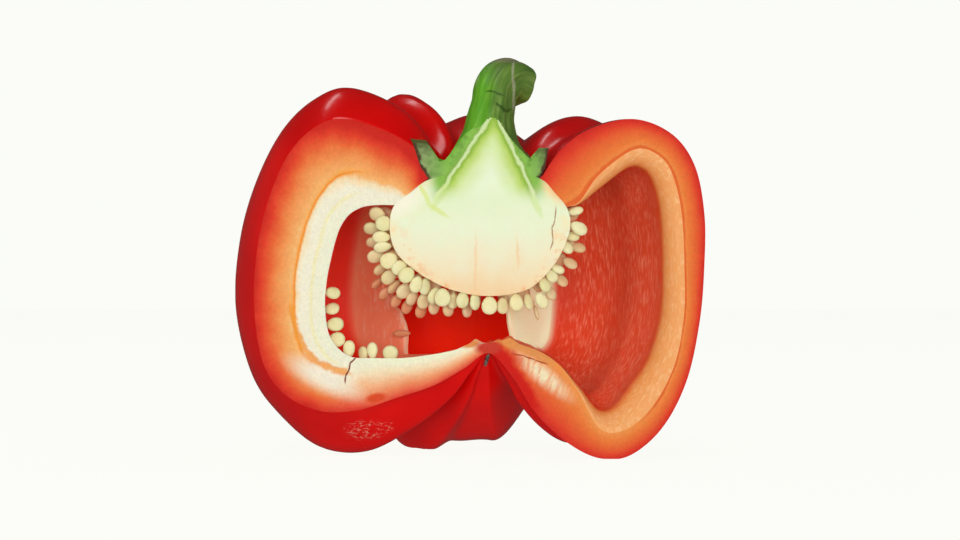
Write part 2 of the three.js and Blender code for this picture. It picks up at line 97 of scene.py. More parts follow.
def wire(tree, node, inputs):
    """Sets a node's inputs to values and hex colours, or links them to sockets and to the first outputs of
    nodes. Inputs are given in their order, or by name or number in a dictionary."""
    for key, value in inputs.items() if isinstance(inputs, dict) else enumerate(inputs):
        if isinstance(value, bpy.types.Node):
            value = value.outputs[0]
        if isinstance(value, bpy.types.NodeSocket):
            tree.links.new(value, node.inputs[key])
        else:
            node.inputs[key].default_value = colour(value) if isinstance(value, str) else value


EASED = {"interpolation_type": "SMOOTHSTEP"}  # a range that starts and ends gently


def add(tree, kind, inputs, stops=(), **settings):
    """Adds one shader node of a kind with its inputs and settings. Stops are a ramp's places and colours."""
    node = tree.nodes.new("ShaderNode" + kind)
    for name, value in settings.items():
        setattr(node, name, value)
    if stops:
        elements = node.color_ramp.elements
        elements.remove(elements[1])
        elements[0].position = stops[0][0]
        elements[0].color = colour(stops[0][1])
        for place, text in stops[1:]:
            elements.new(place).color = colour(text)
    wire(tree, node, inputs)
    return node


world = bpy.data.worlds.new("white surroundings")
world.use_nodes = True
scene.world = world
sky = world.node_tree
sky.nodes.clear()
_, y, z = add(sky, "SeparateXYZ", (add(sky, "TexCoord", ()).outputs["Generated"],)).outputs
brightness = add(sky, "MapRange", (y, -0.7, 0.5, WORLD_FRONT, WORLD_BACK), **EASED)
overhead = add(sky, "MapRange", (z, 0.15, 0.6, 1.0, WORLD_TOP), **EASED)
rays = add(sky, "LightPath", ())
dimmed = add(sky, "Math", (brightness, overhead), operation="MULTIPLY")
glossy = (rays.outputs["Is Glossy Ray"], WORLD_MIRRORED - 1, 1.0)
mirrored_share = add(sky, "Math", glossy, operation="MULTIPLY_ADD")
dimmed = add(sky, "Math", (dimmed, mirrored_share), operation="MULTIPLY")
lit = add(sky, "Background", {"Color": colour(PAPER), "Strength": dimmed})
seen = add(sky, "Background", {"Color": colour(PAPER), "Strength": 1.0})
chosen = add(sky, "MixShader", (rays.outputs["Is Camera Ray"], lit, seen))
add(sky, "OutputWorld", {"Surface": chosen})

for name, (x, y, z), width, depth, watts, mirrored in LAMPS:
    lamp = bpy.data.lights.new(name, "AREA")
    lamp.shape = "RECTANGLE"
    lamp.size = width
    lamp.size_y = depth
    lamp.energy = watts
    lamp_object = bpy.data.objects.new(name, lamp)
    lamp_object.location = (x, y, z)
    aim = np.subtract(LAMPS_AIM, (x, y, z))
    lamp_object.rotation_euler = (
        math.acos(-aim[2] / np.linalg.norm(aim)),
        0,
        math.atan2(aim[1], aim[0]) - math.pi / 2,
    )
    lamp_object.visible_glossy = mirrored
    bpy.context.collection.objects.link(lamp_object)


def new_material(name):
    """A named material, its node tree and its shader."""
    material = bpy.data.materials.new(name)
    material.use_nodes = True
    return material, material.node_tree, material.node_tree.nodes["Principled BSDF"]


# White paper, matt and evenly lit: its glow to the camera is full, and less of it lights the fruit.
paper, tree, shader = new_material("glowing white paper")
rays = add(tree, "LightPath", ())
camera_share = (rays.outputs["Is Camera Ray"], TABLE_GLOW * (1 - TABLE_BOUNCE), TABLE_GLOW * TABLE_BOUNCE)
glow = add(tree, "Math", camera_share, operation="MULTIPLY_ADD")
surface = {
    "Base Color": "#4A4A48",
    "Roughness": 1.0,
    "Specular IOR Level": 0.0,
    "Emission Color": colour(PAPER),
    "Emission Strength": glow,
}
wire(tree, shader, surface)

table_mesh = bpy.data.meshes.new("paper table")
corners = [(x * TABLE_HALF, y * TABLE_HALF, 0) for x, y in ((-1, -1), (1, -1), (1, 1), (-1, 1))]
table_mesh.from_pydata(corners, [], [(0, 1, 2, 3)])
table_mesh.materials.append(paper)
table = bpy.data.objects.new("paper table", table_mesh)
table.visible_glossy = False
bpy.context.collection.objects.link(table)

# The wall is the fruit's red flesh with the waxy skin outside it and the ribs that grow in from it, all one
# growth. The knife took its front away and left a flat face on either side.

# Its half sections, as [radius from the axis, height] in mm at landmarks from the stem cavity over the
# shoulder to the blossom end.
RIGHT_SKIN = np.array([
    [10.6, 56.2], [14.6, 61.9], [20.6, 66.1], [29.2, 68], [36.8, 65], [41.4, 58.6],
    [43.3, 49], [43.3, 39], [42.4, 27.8], [39.8, 15.8], [35, 6.4], [28.4, 0.7],
    [22, 0.2], [15.4, 3.6], [9.4, 9.4], [5, 16.2], [0, 21.2],
])  # fmt: skip
RIGHT_CAVITY = np.array([
    [15.6, 50.4], [18.6, 51], [23.2, 54.4], [28.6, 58.2], [32, 57.4], [33.9, 53.4],
    [34.8, 47], [35, 38], [34.6, 29], [32.4, 20.4], [28.8, 14.4], [25.4, 10],
    [22.2, 9.6], [18.4, 14.2], [13.6, 19.4], [7.4, 22.6], [0, 23.2],
])  # fmt: skip
RIGHT_LIP = np.array([
    [15.6, 50.4], [18.4, 51.6], [22.4, 57], [29.6, 62], [35, 60], [37.6, 54.8],
    [38.9, 47.6], [39.3, 38], [39.2, 28.6], [37.3, 18.8], [33, 10.6], [27.6, 5.9],
    [22.4, 6], [18, 13.6], [13.6, 19.4], [7.4, 22.6], [0, 23.2],
])  # fmt: skip
LEFT_SKIN = np.array([
    [12.2, 56.2], [13.4, 61], [19.6, 65.3], [28.6, 68], [34.6, 66.4], [40, 60.8],
    [44, 51.6], [46.2, 41.8], [46.8, 31], [45.2, 19.8], [41, 13.2], [34, 9.7],
    [26.4, 9.7], [18.6, 12.1], [10.6, 14.8], [4.6, 18.2], [0, 21.2],
])  # fmt: skip
LEFT_CAVITY = np.array([
    [18.8, 50.8], [22, 50.8], [25, 50.4], [27.6, 49], [29.4, 46.6], [30.5, 43.6],
    [31.4, 40], [32.2, 36], [32.6, 31], [32, 25.6], [30.2, 22.4], [27.2, 20.4],
    [22.6, 20.2], [17, 20.2], [10.6, 21], [5.2, 22.1], [0, 23.2],
])  # fmt: skip
LIP_SPREAD = 8  # degrees over which the right section's inner edge rounds over
# Lobes and furrows: azimuth, swelling of side, top and bottom in mm, and crease, from 0 for a crest to 1 for
# a sharp furrow.
LOBES = np.array([
    [0, 0, 0, 0, 0.2], [12, 0.7, 0.4, -0.3, 0], [29, -0.8, -0.6, -2.6, 0.3], [47, 1.6, 2.3, -0.4, 0],
    [70, -3.6, -2.7, -10, 0.85], [92, 3.8, 3.2, 3, 0], [109, 1, 0.6, 4.4, 0.3], [123, 6, 7.2, 7.7, 0],
    [137, -0.6, 0.4, -1.5, 0.9], [159, 8, 7.2, 8.8, 0], [180, 0, 0, 0, 1],
])  # fmt: skip
# Each landmark's share of the side, top and bottom swellings, pushed away from the chamber's middle.
SWELL_SHARE = np.array([
    [0, 0, 0], [0, 0.35, 0], [0, 0.75, 0], [0, 1, 0], [0.1, 0.9, 0], [0.5, 0.5, 0],
    [0.85, 0.15, 0], [1, 0, 0], [1, 0, 0], [0.65, 0, 0.2], [0.2, 0, 0.6], [0, 0, 1],
    [0, 0, 1], [0, 0, 0.75], [0, 0, 0.42], [0, 0, 0.14], [0, 0, 0],
])  # fmt: skip
# The creases grow shallow towards the blossom end.
CREASE_SHARE = np.array([1, 1, 1, 1, 1, 1, 1, 1, 1, 1, 0.9, 0.75, 0.5, 0.25, 0.1, 0, 0])
CHAMBER_MIDDLE = np.array([24, 34])
FURROW_TWIST = 3.5
SOFT_SIDE = 0.45
RIB_SPREAD = 7  # degrees over which the cut rib on the left fades into the wall
FLOOR_FROM = 13  # from this landmark on, one section's floor blends into the other's

RIBS = (
    {
        "azimuth": 70,
        "edge": [[11, 50], [11, 41], [10.5, 34], [11.6, 30], [13.6, 25], [16, 21], [18.5, 18]],
        "rooted": (1.2, 13.2),
        "ragged": 0.2,
    },
    {
        "azimuth": 134,
        "edge": [[13, 50], [16, 43], [25, 37.5], [29, 34], [27, 30.5], [24.4, 27], [24.8, 20]],
        "rooted": (1.2, 12.6),
        "ragged": 0.5,
    },
)
# A rib's reach inwards as a share, by the distance in mm off its middle at the wall.
RIB_OFFSETS = np.array([0, 0.45, 0.7, 0.95, 1.2, 1.45, 1.75, 2.2, 2.8, 3.6, 4.8])
RIB_REACH = np.array([1, 0.99, 0.95, 0.8, 0.55, 0.33, 0.2, 0.1, 0.045, 0.015, 0])
RIB_WALL_RADIUS = 30
RIB_FADE = 0.7  # landmarks over which a rib fades out past its roots
TORN_WAVES = ((1.0, 19, 0), (0.6, 47, 1))  # share, and angle and start in radians, along a ragged edge

WALL_ROWS = 168
WALL_STEP = 1.4  # degrees between columns away from the ribs
LIP_COLUMNS = 11
CUT_LAYERS = 18
LANDMARK_PITCH = 6.5  # mm along the wall from one landmark to the next, on average
JOIN_OVERLAP = 0.245  # mm that the wall runs in under the core's edge
WALL_BEHIND = 0.06  # mm that its cut face lies behind the core's
# Knobs of torn flesh on the floor of the cavity at the blossom end: x from the axis, mm behind the cut,
# height and spread. They rise between the two landmarks.
END_KNOBS = (
    (-4.6, 0.6, 0.5, 1.2), (-2.5, 0.8, 1.5, 1.1), (0.3, 1.6, 0.6, 0.9), (1.9, 0.7, 0.8, 0.8),
    (4.3, 1.2, 1.6, 1.4),
)  # fmt: skip
KNOBS_RISE = (12.6, 13.6)


def along_curve(points, u, before, after):
    """Points at parameters u on uniform Catmull-Rom curves through points[..., k, :]: each is the cubic
    blend of its four nearest points, with a phantom point past either end."""
    padded = np.concatenate([before[..., None, :], points, after[..., None, :]], axis=-2)
    k = np.clip(np.floor(u).astype(int), 0, points.shape[-2] - 2)
    f = u - k
    weights = (-f + 2 * f**2 - f**3, 2 - 5 * f**2 + 3 * f**3, f + 4 * f**2 - 3 * f**3, f**3 - f**2)
    return sum(w[:, None] / 2 * padded[..., k + i, :] for i, w in enumerate(weights))


def open_curve(points, u):
    """The same, with its ends straight on from the last two points."""
    points = np.asarray(points, float)
    before = 2 * points[..., 0, :] - points[..., 1, :]
    after = 2 * points[..., -1, :] - points[..., -2, :]
    return along_curve(points, u, before, after)


def half_section(points, u):
    """Points on half sections, which cross the axis level at their end, and at a start that lies on it."""
    mirror = np.array([-1, 1])
    onward = 2 * points[..., 0, :] - points[..., 1, :]
    start = np.where(points[..., :1, 0] == 0, mirror * points[..., 1, :], onward)
    return along_curve(points, u, start, mirror * points[..., -2, :])


def place(section, azimuth):
    """Row-frame points, in mm, of [radius, height] at azimuths in degrees: 0 is the right of the cut, 90
    straight behind the axis and 180 the left."""
    a = np.radians(azimuth)
    x = AXIS_X + section[..., 0] * np.cos(a)
    y = CUT_Y + section[..., 0] * np.abs(np.sin(a))
    return np.stack([x, y, section[..., 1]], axis=-1)


def left_share(azimuth):
    """Share of the left section in a blend of the two, easing from 0 on the right to 1 on the left."""
    return (1 - np.cos(np.radians(azimuth))) / 2


def smooth(value, low, high):
    """Rises from 0 at low to 1 at high as 3t squared less 2t cubed."""
    t = np.clip((value - low) / (high - low), 0, 1)
    return t * t * (3 - 2 * t)


def swelling(azimuth, creasing):
    """The side, top and bottom swellings at azimuths. Each lobe rises from its furrow as a blend, by the
    crease, of half a cosine wave and a quarter of a sine wave; the creasing is the crease's share at each."""
    i = np.clip(np.searchsorted(LOBES[:, 0], azimuth), 1, len(LOBES) - 1)
    low = LOBES[i - 1]
    high = LOBES[i]
    along = (azimuth - low[..., 0]) / (high[..., 0] - low[..., 0])
    from_low = (low[..., 4] > 0) | (high[..., 4] == 0)
    u = np.where(from_low, along, 1 - along)
    furrow = np.where(from_low[..., None], low, high)
    crest = np.where(from_low[..., None], high, low)
    soft = np.where(furrow[..., 0] == 180, 1, SOFT_SIDE)
    softness = np.stack([soft, np.ones_like(soft), np.ones_like(soft)], axis=-1)
    crease = (creasing * furrow[..., 4])[..., None] * softness
    u = u[..., None]
    rise = (1 - crease) * (1 - np.cos(np.pi * u)) / 2 + crease * np.sin(np.pi * u / 2)
    return furrow[..., 1:4] + (crest[..., 1:4] - furrow[..., 1:4]) * rise


def to_unit(vectors):
    """Vectors brought to a length of 1."""
    return vectors / np.linalg.norm(vectors, axis=-1, keepdims=True)


def skin_landmarks(azimuth):
    """The skin's landmarks at azimuths: the two sections' blend, pushed out from the chamber's middle by
    the swellings, with the furrows leaning one way at the top and the other at the bottom."""
    share = left_share(azimuth)[:, None, None]
    base = RIGHT_SKIN * (1 - share) + LEFT_SKIN * share
    out = to_unit(base - CHAMBER_MIDDLE)
    lean = FURROW_TWIST * (SWELL_SHARE[:, 1] - SWELL_SHARE[:, 2]) * np.sin(np.radians(azimuth))[:, None]
    swell = swelling(np.clip(azimuth[:, None] - lean, 0, 180), CREASE_SHARE)
    return base + (SWELL_SHARE * swell).sum(axis=-1)[..., None] * out


def cavity_landmarks(azimuth):
    """The cavity's landmarks lie under the skin's by the thickness in the sections: the right one's lip
    rounds over in a quarter circle, and the left one's rib fades out as a bell curve."""
    lip = 1 - np.sqrt(1 - np.maximum(0, 1 - azimuth / LIP_SPREAD) ** 2)[:, None, None]
    rib = np.exp(-(((180 - azimuth) / RIB_SPREAD) ** 2))
    on_floor = np.arange(len(LEFT_SKIN)) >= FLOOR_FROM
    rib = np.where(on_floor, left_share(azimuth)[:, None], rib[:, None])[..., None]
    right = RIGHT_CAVITY * (1 - lip) + RIGHT_LIP * lip - RIGHT_SKIN
    inward = right * (1 - rib) + (LEFT_CAVITY - LEFT_SKIN) * rib
    return skin_landmarks(azimuth) + inward


def rib_window(rib, u):
    """1 along the stretch where the rib is rooted, fading to 0 past its ends."""
    start, end = rib["rooted"]
    return smooth(u, start - RIB_FADE, start) * (1 - smooth(u, end, end + RIB_FADE))


def rib_push(rib, u):
    """How far, in mm along the radius and up, the rib's free edge stands in from the wall at landmarks u."""
    start, end = rib["rooted"]
    root = half_section(cavity_landmarks(np.array([float(rib["azimuth"])])), u)[0]
    share = np.clip((u - start) / (end - start), 0, 1)
    free = open_curve(rib["edge"], share * (len(rib["edge"]) - 1))
    waves = sum(height * np.sin(angle * share + first) for height, angle, first in TORN_WAVES)
    free[:, 0] += rib["ragged"] * waves * np.sin(np.pi * share)
    return (free - root) * rib_window(rib, u)[:, None]


def wall_columns():
    """Azimuths of the mesh's columns: crowded where the lip rounds over and across each rib."""
    lip = LIP_SPREAD * (1 - np.cos(np.linspace(0, np.pi / 2, LIP_COLUMNS)))
    plain = np.arange(LIP_SPREAD + WALL_STEP, 180 - WALL_STEP / 2, WALL_STEP)
    across = np.degrees(RIB_OFFSETS / RIB_WALL_RADIUS)
    for rib in RIBS:
        plain = plain[np.abs(plain - rib["azimuth"]) > across[-1] + WALL_STEP / 2]
        plain = np.concatenate([plain, rib["azimuth"] + across, rib["azimuth"] - across[1:]])
    return np.concatenate([lip, np.sort(plain), [180]])


def quads_between(ids):
    """Quads between neighbouring rows and columns of a grid of vertex numbers, turning down each column."""
    return np.stack([ids[:-1, :-1], ids[1:, :-1], ids[1:, 1:], ids[:-1, 1:]], axis=-1).reshape(-1, 4)


def made_piece(name, points, groups, sharp=40, **attributes):
    """A piece from points in mm, and from groups of quads with their material. A quad that has two corners
    alike, as at a pole, becomes a triangle. Attributes hold a number or a vector for each point."""
    faces = []
    numbers = []
    for number, (quads, _) in enumerate(groups):
        low = quads[:, 1] == quads[:, 2]
        high = quads[:, 0] == quads[:, 3]
        whole = quads[~(low | high)]
        pointed = np.concatenate([quads[low & ~high][:, [0, 1, 3]], quads[high & ~low][:, [0, 1, 2]]])
        faces += whole.tolist() + pointed.tolist()
        numbers += [number] * (len(whole) + len(pointed))
    mesh = bpy.data.meshes.new(name)
    mesh.from_pydata((np.asarray(points) * MM).tolist(), [], faces)
    mesh.polygons.foreach_set("material_index", numbers)
    mesh.polygons.foreach_set("use_smooth", [True] * len(faces))
    mesh.set_sharp_from_angle(angle=math.radians(sharp))
    for key, values in attributes.items():
        wide = np.ndim(values) == 2
        layer = mesh.attributes.new(key, "FLOAT_VECTOR" if wide else "FLOAT", "POINT")
        layer.data.foreach_set("vector" if wide else "value", np.ravel(values))
    for _, material in groups:
        mesh.materials.append(material)
    made = bpy.data.objects.new(name, mesh)
    bpy.context.collection.objects.link(made)
    return made


def strength_in_spot(tree, coords, centre, half, turn, soft):
    """1 inside an ellipse on the cut face and 0 outside: centre in mm from the axis and the floor, half sizes
    in mm, turned anticlockwise by turn degrees, with a soft edge given as a share. It goes straight back."""
    placed = {
        "Vector": coords,
        "Location": ((AXIS_X + centre[0]) * MM, 0, centre[1] * MM),
        "Rotation": (0, -math.radians(turn), 0),
        "Scale": (half[0] * MM, 1000, half[1] * MM),
    }
    local = add(tree, "Mapping", placed, vector_type="TEXTURE")
    away = add(tree, "VectorMath", (local,), operation="LENGTH")
    return add(tree, "MapRange", (away.outputs["Value"], 1 + soft, 1 - soft), **EASED)


def strength_on_line(tree, coords, path, width, wobble, wave):
    """1 on a broken line on the cut face and 0 off it: its path in mm from the axis and the floor, its width,
    and how far, and over how many mm, noise bends it."""
    bend = add(tree, "TexNoise", {"Vector": coords, "Scale": 1 / (wave * MM), "Detail": 2})
    centred = add(tree, "VectorMath", (bend.outputs["Color"], (0.5, 0.5, 0.5)), operation="SUBTRACT")
    scaled = add(tree, "VectorMath", {0: centred, "Scale": wobble * MM}, operation="SCALE")
    bent = add(tree, "VectorMath", (coords, scaled), operation="ADD")
    total = None
    for (x0, z0), (x1, z1) in zip(path, path[1:]):
        length = math.hypot(x1 - x0, z1 - z0)
        turn = math.degrees(math.atan2(z1 - z0, x1 - x0))
        middle = ((x0 + x1) / 2, (z0 + z1) / 2)
        part = strength_in_spot(tree, bent, middle, (length / 2 + width, width / 2), turn, 0.45)
        total = part if total is None else add(tree, "Math", (total, part), operation="MAXIMUM")
    return total


def painted(tree, under, over, strength, share=1.0):
    """The colour under, covered by the colour over as far as strength, times a share, says."""
    if share < 1:
        strength = add(tree, "Math", (strength, share), operation="MULTIPLY")
    return add(tree, "Mix", {"Factor": strength, 6: under, 7: over}, data_type="RGBA").outputs[2]


def with_spots(tree, coords, under, spots):
    """The colour under with spots on it: rows of centre, half sizes, turn, soft edge and colour."""
    for centre, half, turn, soft, over in spots:
        under = painted(tree, under, over, strength_in_spot(tree, coords, centre, half, turn, soft))
    return under


def with_lines(tree, coords, under, lines):
    """The same with lines: rows of path, width, how far and how often it bends, colour and its share."""
    for path, width, wobble, wave, over, share in lines:
        under = painted(tree, under, over, strength_on_line(tree, coords, path, width, wobble, wave), share)
    return under


# Pepper skin: a thin waxed cuticle over red cells. It is smooth and mirrors its surroundings softly, with a
# speckled grey-pink patch low on the left lobe.
skin, tree, shader = new_material("waxy pepper skin")
coords = add(tree, "TexCoord", ()).outputs["Object"]
cloud = add(tree, "TexNoise", {"Vector": coords, "Scale": 1 / (14 * MM), "Detail": 2})
reds = add(tree, "ValToRGB", (cloud,), stops=((0.3, "#C80204"), (0.7, "#DC0803")))
ragged = add(tree, "TexNoise", {"Vector": coords, "Scale": 1 / (4 * MM), "Detail": 3})
# A speckled grey-pink patch in an ellipse low on the left lobe, behind the cut.
patch_mask = strength_in_spot(tree, coords, (-24.4, 5.6), (5.2, 2.4), 12, 0.8)
patch_mask = add(tree, "Math", (patch_mask, ragged), operation="MULTIPLY")
patch_mask = add(tree, "MapRange", (patch_mask, 0.22, 0.42))
y = add(tree, "SeparateXYZ", (coords,)).outputs["Y"]
in_front = add(tree, "MapRange", (y, (CUT_Y + 22) * MM, (CUT_Y + 16) * MM))
patch_mask = add(tree, "Math", (patch_mask, in_front), operation="MULTIPLY")
flat_map = add(tree, "Mapping", {"Vector": coords, "Rotation": (0, 0.3, 0), "Scale": (1, 1, 2.6)})
fine = {"Vector": flat_map, "Scale": 1 / (0.9 * MM), "Detail": 4, "Roughness": 0.75, "Distortion": 0.4}
specks = add(tree, "TexNoise", fine)
speckled = add(tree, "MapRange", (specks, 0.53, 0.6, 0, 0.6))
patch_specks = add(tree, "Math", (patch_mask, speckled), operation="MULTIPLY")
ripple = add(tree, "TexNoise", {"Vector": coords, "Scale": 1 / (9 * MM), "Detail": 1})
bump = add(tree, "Bump", {"Height": ripple, "Strength": 0.25, "Distance": 0.4 * MM})
surface = {
    "Base Color": painted(tree, reds, "#DDA08C", patch_specks),
    "Normal": bump,
    "Roughness": 0.24,
    "IOR": 1.38,
    "Coat Weight": 0.2,
    "Coat Roughness": 0.1,
}
wire(tree, shader, surface)

# Cut flesh: wet cells sliced open, matt with fine grain. Red under the skin, it turns orange inwards, and in
# the thick rib on the left a line of orange vessels parts it from white tissue.
flesh, tree, shader = new_material("cut pepper flesh")
coords = add(tree, "TexCoord", ()).outputs["Object"]
run = add(tree, "Attribute", (), attribute_name="run").outputs["Vector"]
across, along, depth = add(tree, "SeparateXYZ", (run,)).outputs
grain = add(tree, "TexNoise", {"Vector": coords, "Scale": 1 / (0.5 * MM), "Detail": 3, "Roughness": 0.65})
fibre_map = add(tree, "Mapping", {"Vector": run, "Scale": (0.05, 1.6, 2.5)})
fibres = add(tree, "TexNoise", {"Vector": fibre_map, "Scale": 1, "Detail": 3})
clouds = add(tree, "TexNoise", {"Vector": coords, "Scale": 1 / (5 * MM), "Detail": 3})
uneven = add(tree, "Math", (clouds, 0.2, -0.1), operation="MULTIPLY_ADD")
unruly = add(tree, "Math", (fibres, 0.05, -0.025), operation="MULTIPLY_ADD")
near_top = add(tree, "MapRange", (along, 10, 28, -0.14, 0.0))
rough_depth = add(tree, "Math", (depth, uneven), operation="ADD")
rough_depth = add(tree, "Math", (rough_depth, unruly), operation="ADD")
low_down = add(tree, "MapRange", (along, 52, 72, 0, 0.04))
right_depth = add(tree, "Math", (rough_depth, low_down), operation="ADD")
right_stops = ((0.0, "#CE2018"), (0.18, "#DE3C22"), (0.4, "#E45E2C"), (0.7, "#E87834"), (1.0, "#EC9248"))
right = add(tree, "ValToRGB", (right_depth,), stops=right_stops)
left_stops = (
    (0.0, "#CC2014"), (0.09, "#DE3C22"), (0.2, "#E66432"), (0.34, "#EE9450"), (0.5, "#F2B26C"),
    (0.57, "#F4DCB0"), (0.66, "#F0EAD2"), (1.0, "#EDEBD0"),
)  # fmt: skip
left_depth = add(tree, "Math", (rough_depth, near_top), operation="ADD")
left = add(tree, "ValToRGB", (left_depth,), stops=left_stops)
low_stops = (
    (0.0, "#DA3420"), (0.08, "#E4583E"), (0.28, "#EC8C5E"), (0.48, "#F1B688"), (0.66, "#F3DAB2"),
    (0.85, "#EFEACB"), (1.0, "#EEF0CC"),
)  # fmt: skip
low_left = add(tree, "ValToRGB", (rough_depth,), stops=low_stops)
lower = add(tree, "MapRange", (along, 70, 80), **EASED)
left_painted = painted(tree, left, low_left, lower)
vessel_end = add(tree, "MapRange", (along, 74, 66))
vessel_start = add(tree, "MapRange", (along, 13, 21))
vessel_here = add(tree, "Math", (vessel_end, vessel_start), operation="MULTIPLY")
VESSELS = (
    # depth in the flesh as a share, half width as a share, colour and how strongly it shows
    (0.55, 0.05, "#F4A648", 0.75),
    (0.56, 0.02, "#F08A1E", 0.8),
    (0.8, 0.035, "#F0E6A4", 0.55),
)
for where, half, shade, strength in VESSELS:
    off = add(tree, "Math", (clouds, 0.07, -0.035 - where), operation="MULTIPLY_ADD")
    off = add(tree, "Math", (depth, off), operation="ADD")
    off = add(tree, "Math", (off,), operation="ABSOLUTE")
    on_line = add(tree, "MapRange", (off, half, half * 0.3, 0, strength), **EASED)
    on_line = add(tree, "Math", (on_line, vessel_here), operation="MULTIPLY")
    left_painted = painted(tree, left_painted, shade, on_line)
LEFT_SPOTS = (
    # centre, half sizes, turn, soft edge and colour: white tissue under the vessels' end, and a nick
    ((-32.6, 16.4), (6.4, 2.3), -25, 0.7, "#F2E8D2"),
    ((-22.4, 12.2), (2.0, 0.9), 10, 0.4, "#DC4A20"),
)
left_painted = with_spots(tree, coords, left_painted, LEFT_SPOTS)
VESSELS_END = ((-39.2, 29.8), (-38.2, 25.2), (-36.6, 21.8), (-34.2, 19.4), (-31.2, 18.0), (-28.8, 17.4))
CRACK = ((-26.6, 20.1), (-27.5, 19.2), (-27.9, 17.6), (-28.5, 16.5), (-28.6, 15.4))
left_lines = ((VESSELS_END, 1.4, 1.4, 1.6, "#F09A34", 0.85), (CRACK, 0.32, 0.3, 0.8, "#7A2A14", 1))
left_painted = with_lines(tree, coords, left_painted, left_lines)
white_patch = strength_in_spot(tree, coords, (11.0, 16.8), (5.6, 1.5), -40, 0.8)
patchy = add(tree, "MapRange", (fibres, 0.34, 0.56, 0.4, 1))
white_patch = add(tree, "Math", (white_patch, patchy), operation="MULTIPLY")
right_painted = painted(tree, right, "#F4E2BA", white_patch)
right_inner = add(tree, "MapRange", (rough_depth, 0.86, 0.93), **EASED)
before_patch = add(tree, "MapRange", (along, 70, 64, 0, 0.8))
right_line = add(tree, "Math", (right_inner, before_patch), operation="MULTIPLY")
right_painted = painted(tree, right_painted, "#E0581E", right_line)
RIGHT_LINES = (
    # path, width, how far and how often it bends, colour and its share: a ledge, its edge and red flesh
    (((3.4, 23.6), (6.4, 22.6), (9.4, 21.2), (11.4, 20.2)), 1.9, 0.5, 2, "#E09250", 1),
    (((4.9, 21), (7.0, 20.7), (9.4, 19.8), (11.6, 19)), 0.3, 0.5, 2, "#B04A22", 1),
    (((-1, 21.6), (2.2, 20.6), (3.4, 18.4), (5.6, 15.2), (7.6, 12.2)), 4.0, 1.4, 1.2, "#D01408", 1),
)
right_painted = with_lines(tree, coords, right_painted, RIGHT_LINES)
END_SPOTS = (
    # torn flesh at the blossom end, and red flesh between
    ((-3.4, 23.2), (2.0, 0.9), 15, 0.4, "#E08C48"),
    ((4.2, 23.2), (1.3, 0.8), -10, 0.4, "#E2924C"),
    ((0, 22.2), (2.5, 1.3), 0, 0.4, "#C83A28"),
)
left_painted = with_spots(tree, coords, left_painted, END_SPOTS)
right_painted = with_spots(tree, coords, right_painted, END_SPOTS)
is_left = add(tree, "Math", (across, 50), operation="GREATER_THAN")
face = painted(tree, right_painted, left_painted, is_left)
shade = add(tree, "MapRange", (grain, 0.3, 0.7, 0.86, 0.98))
shaded = add(tree, "VectorMath", {0: face, "Scale": shade}, operation="SCALE")
bump = add(tree, "Bump", {"Height": grain, "Strength": 0.3, "Distance": 0.15 * MM})
surface = {
    "Base Color": shaded,
    "Normal": bump,
    "Roughness": 0.5,
    "IOR": 1.4,
    "Subsurface Weight": 0.2,
    "Subsurface Radius": (1.0, 0.35, 0.15),
    "Subsurface Scale": 1.5 * MM,
}
wire(tree, shader, surface)

# The cavity's lining: a moist inner skin, deep red and smooth at the back, streaked and mottled pink in the
# right chamber, pale where it rounds over the cut edge, and cream or salmon on the ribs.
lining, tree, shader = new_material("cavity lining")
coords = add(tree, "TexCoord", ()).outputs["Object"]
run = add(tree, "Attribute", (), attribute_name="run").outputs["Vector"]
rib = add(tree, "Attribute", (), attribute_name="rib").outputs["Fac"]
across, along, _ = add(tree, "SeparateXYZ", (run,)).outputs
streak_map = add(tree, "Mapping", {"Vector": run, "Scale": (2.4, 0.55, 1)})
streaks = add(tree, "TexNoise", {"Vector": streak_map, "Scale": 1, "Detail": 3, "Distortion": 0.6})
mottle = add(tree, "TexNoise", {"Vector": coords, "Scale": 1 / (3 * MM), "Detail": 3})
turn = add(tree, "Math", (across, 0.01), operation="MULTIPLY")
around = add(tree, "Math", (mottle, 0.016, -0.008), operation="MULTIPLY_ADD")
around = add(tree, "Math", (turn, around), operation="ADD")
base_stops = (
    (0.0, "#E8A060"), (0.022, "#E8924C"), (0.034, "#E87030"), (0.05, "#E85020"), (0.09, "#E04420"),
    (0.34, "#DE4628"), (0.4, "#FA1E04"), (0.72, "#FA1C04"), (0.9, "#E63A20"), (0.955, "#DE6C50"),
    (0.975, "#E9D4B0"), (1.0, "#EDEBD0"),
)  # fmt: skip
base = add(tree, "ValToRGB", (around,), stops=base_stops)
streak_strength = add(tree, "MapRange", (streaks, 0.48, 0.68, 0, 0.6))
in_chamber = add(tree, "MapRange", (across, 37, 31))
past_lip = add(tree, "MapRange", (across, 3.4, 6))
streak_here = add(tree, "Math", (streak_strength, in_chamber), operation="MULTIPLY")
streak_here = add(tree, "Math", (streak_here, past_lip), operation="MULTIPLY")
walls = painted(tree, base, "#F89478", streak_here)
lip_map = add(tree, "Mapping", {"Vector": run, "Scale": (7, 0.8, 1)})
lip_streaks = add(tree, "TexNoise", {"Vector": lip_map, "Scale": 1, "Detail": 3, "Distortion": 0.8})
lip_strength = add(tree, "MapRange", (lip_streaks, 0.5, 0.66, 0, 0.55))
on_lip = add(tree, "MapRange", (across, 4, 2.2))
lip_here = add(tree, "Math", (lip_strength, on_lip), operation="MULTIPLY")
walls = painted(tree, walls, "#F2BE8A", lip_here)
rib_stops = ((0.3, "#E8FCDC"), (0.5, "#E8FCDC"), (0.6, "#EE8C68"), (0.9, "#EE8C68"))
rib_colour = add(tree, "ValToRGB", (turn,), stops=rib_stops)
# Painted glow colours of the ribs, cream-green on the right septum and dark red on the left, for the emission
# below.
painted_rib_glow = add(tree, "ValToRGB", (turn,), stops=((0.5, "#747A58"), (0.6, "#481C0E")))
rib_strength = add(tree, "MapRange", (rib, 0.006, 0.08), **EASED)
low_floor = add(tree, "MapRange", (along, 79, 84))
beside_cut = add(tree, "MapRange", (around, 0.9, 0.97))
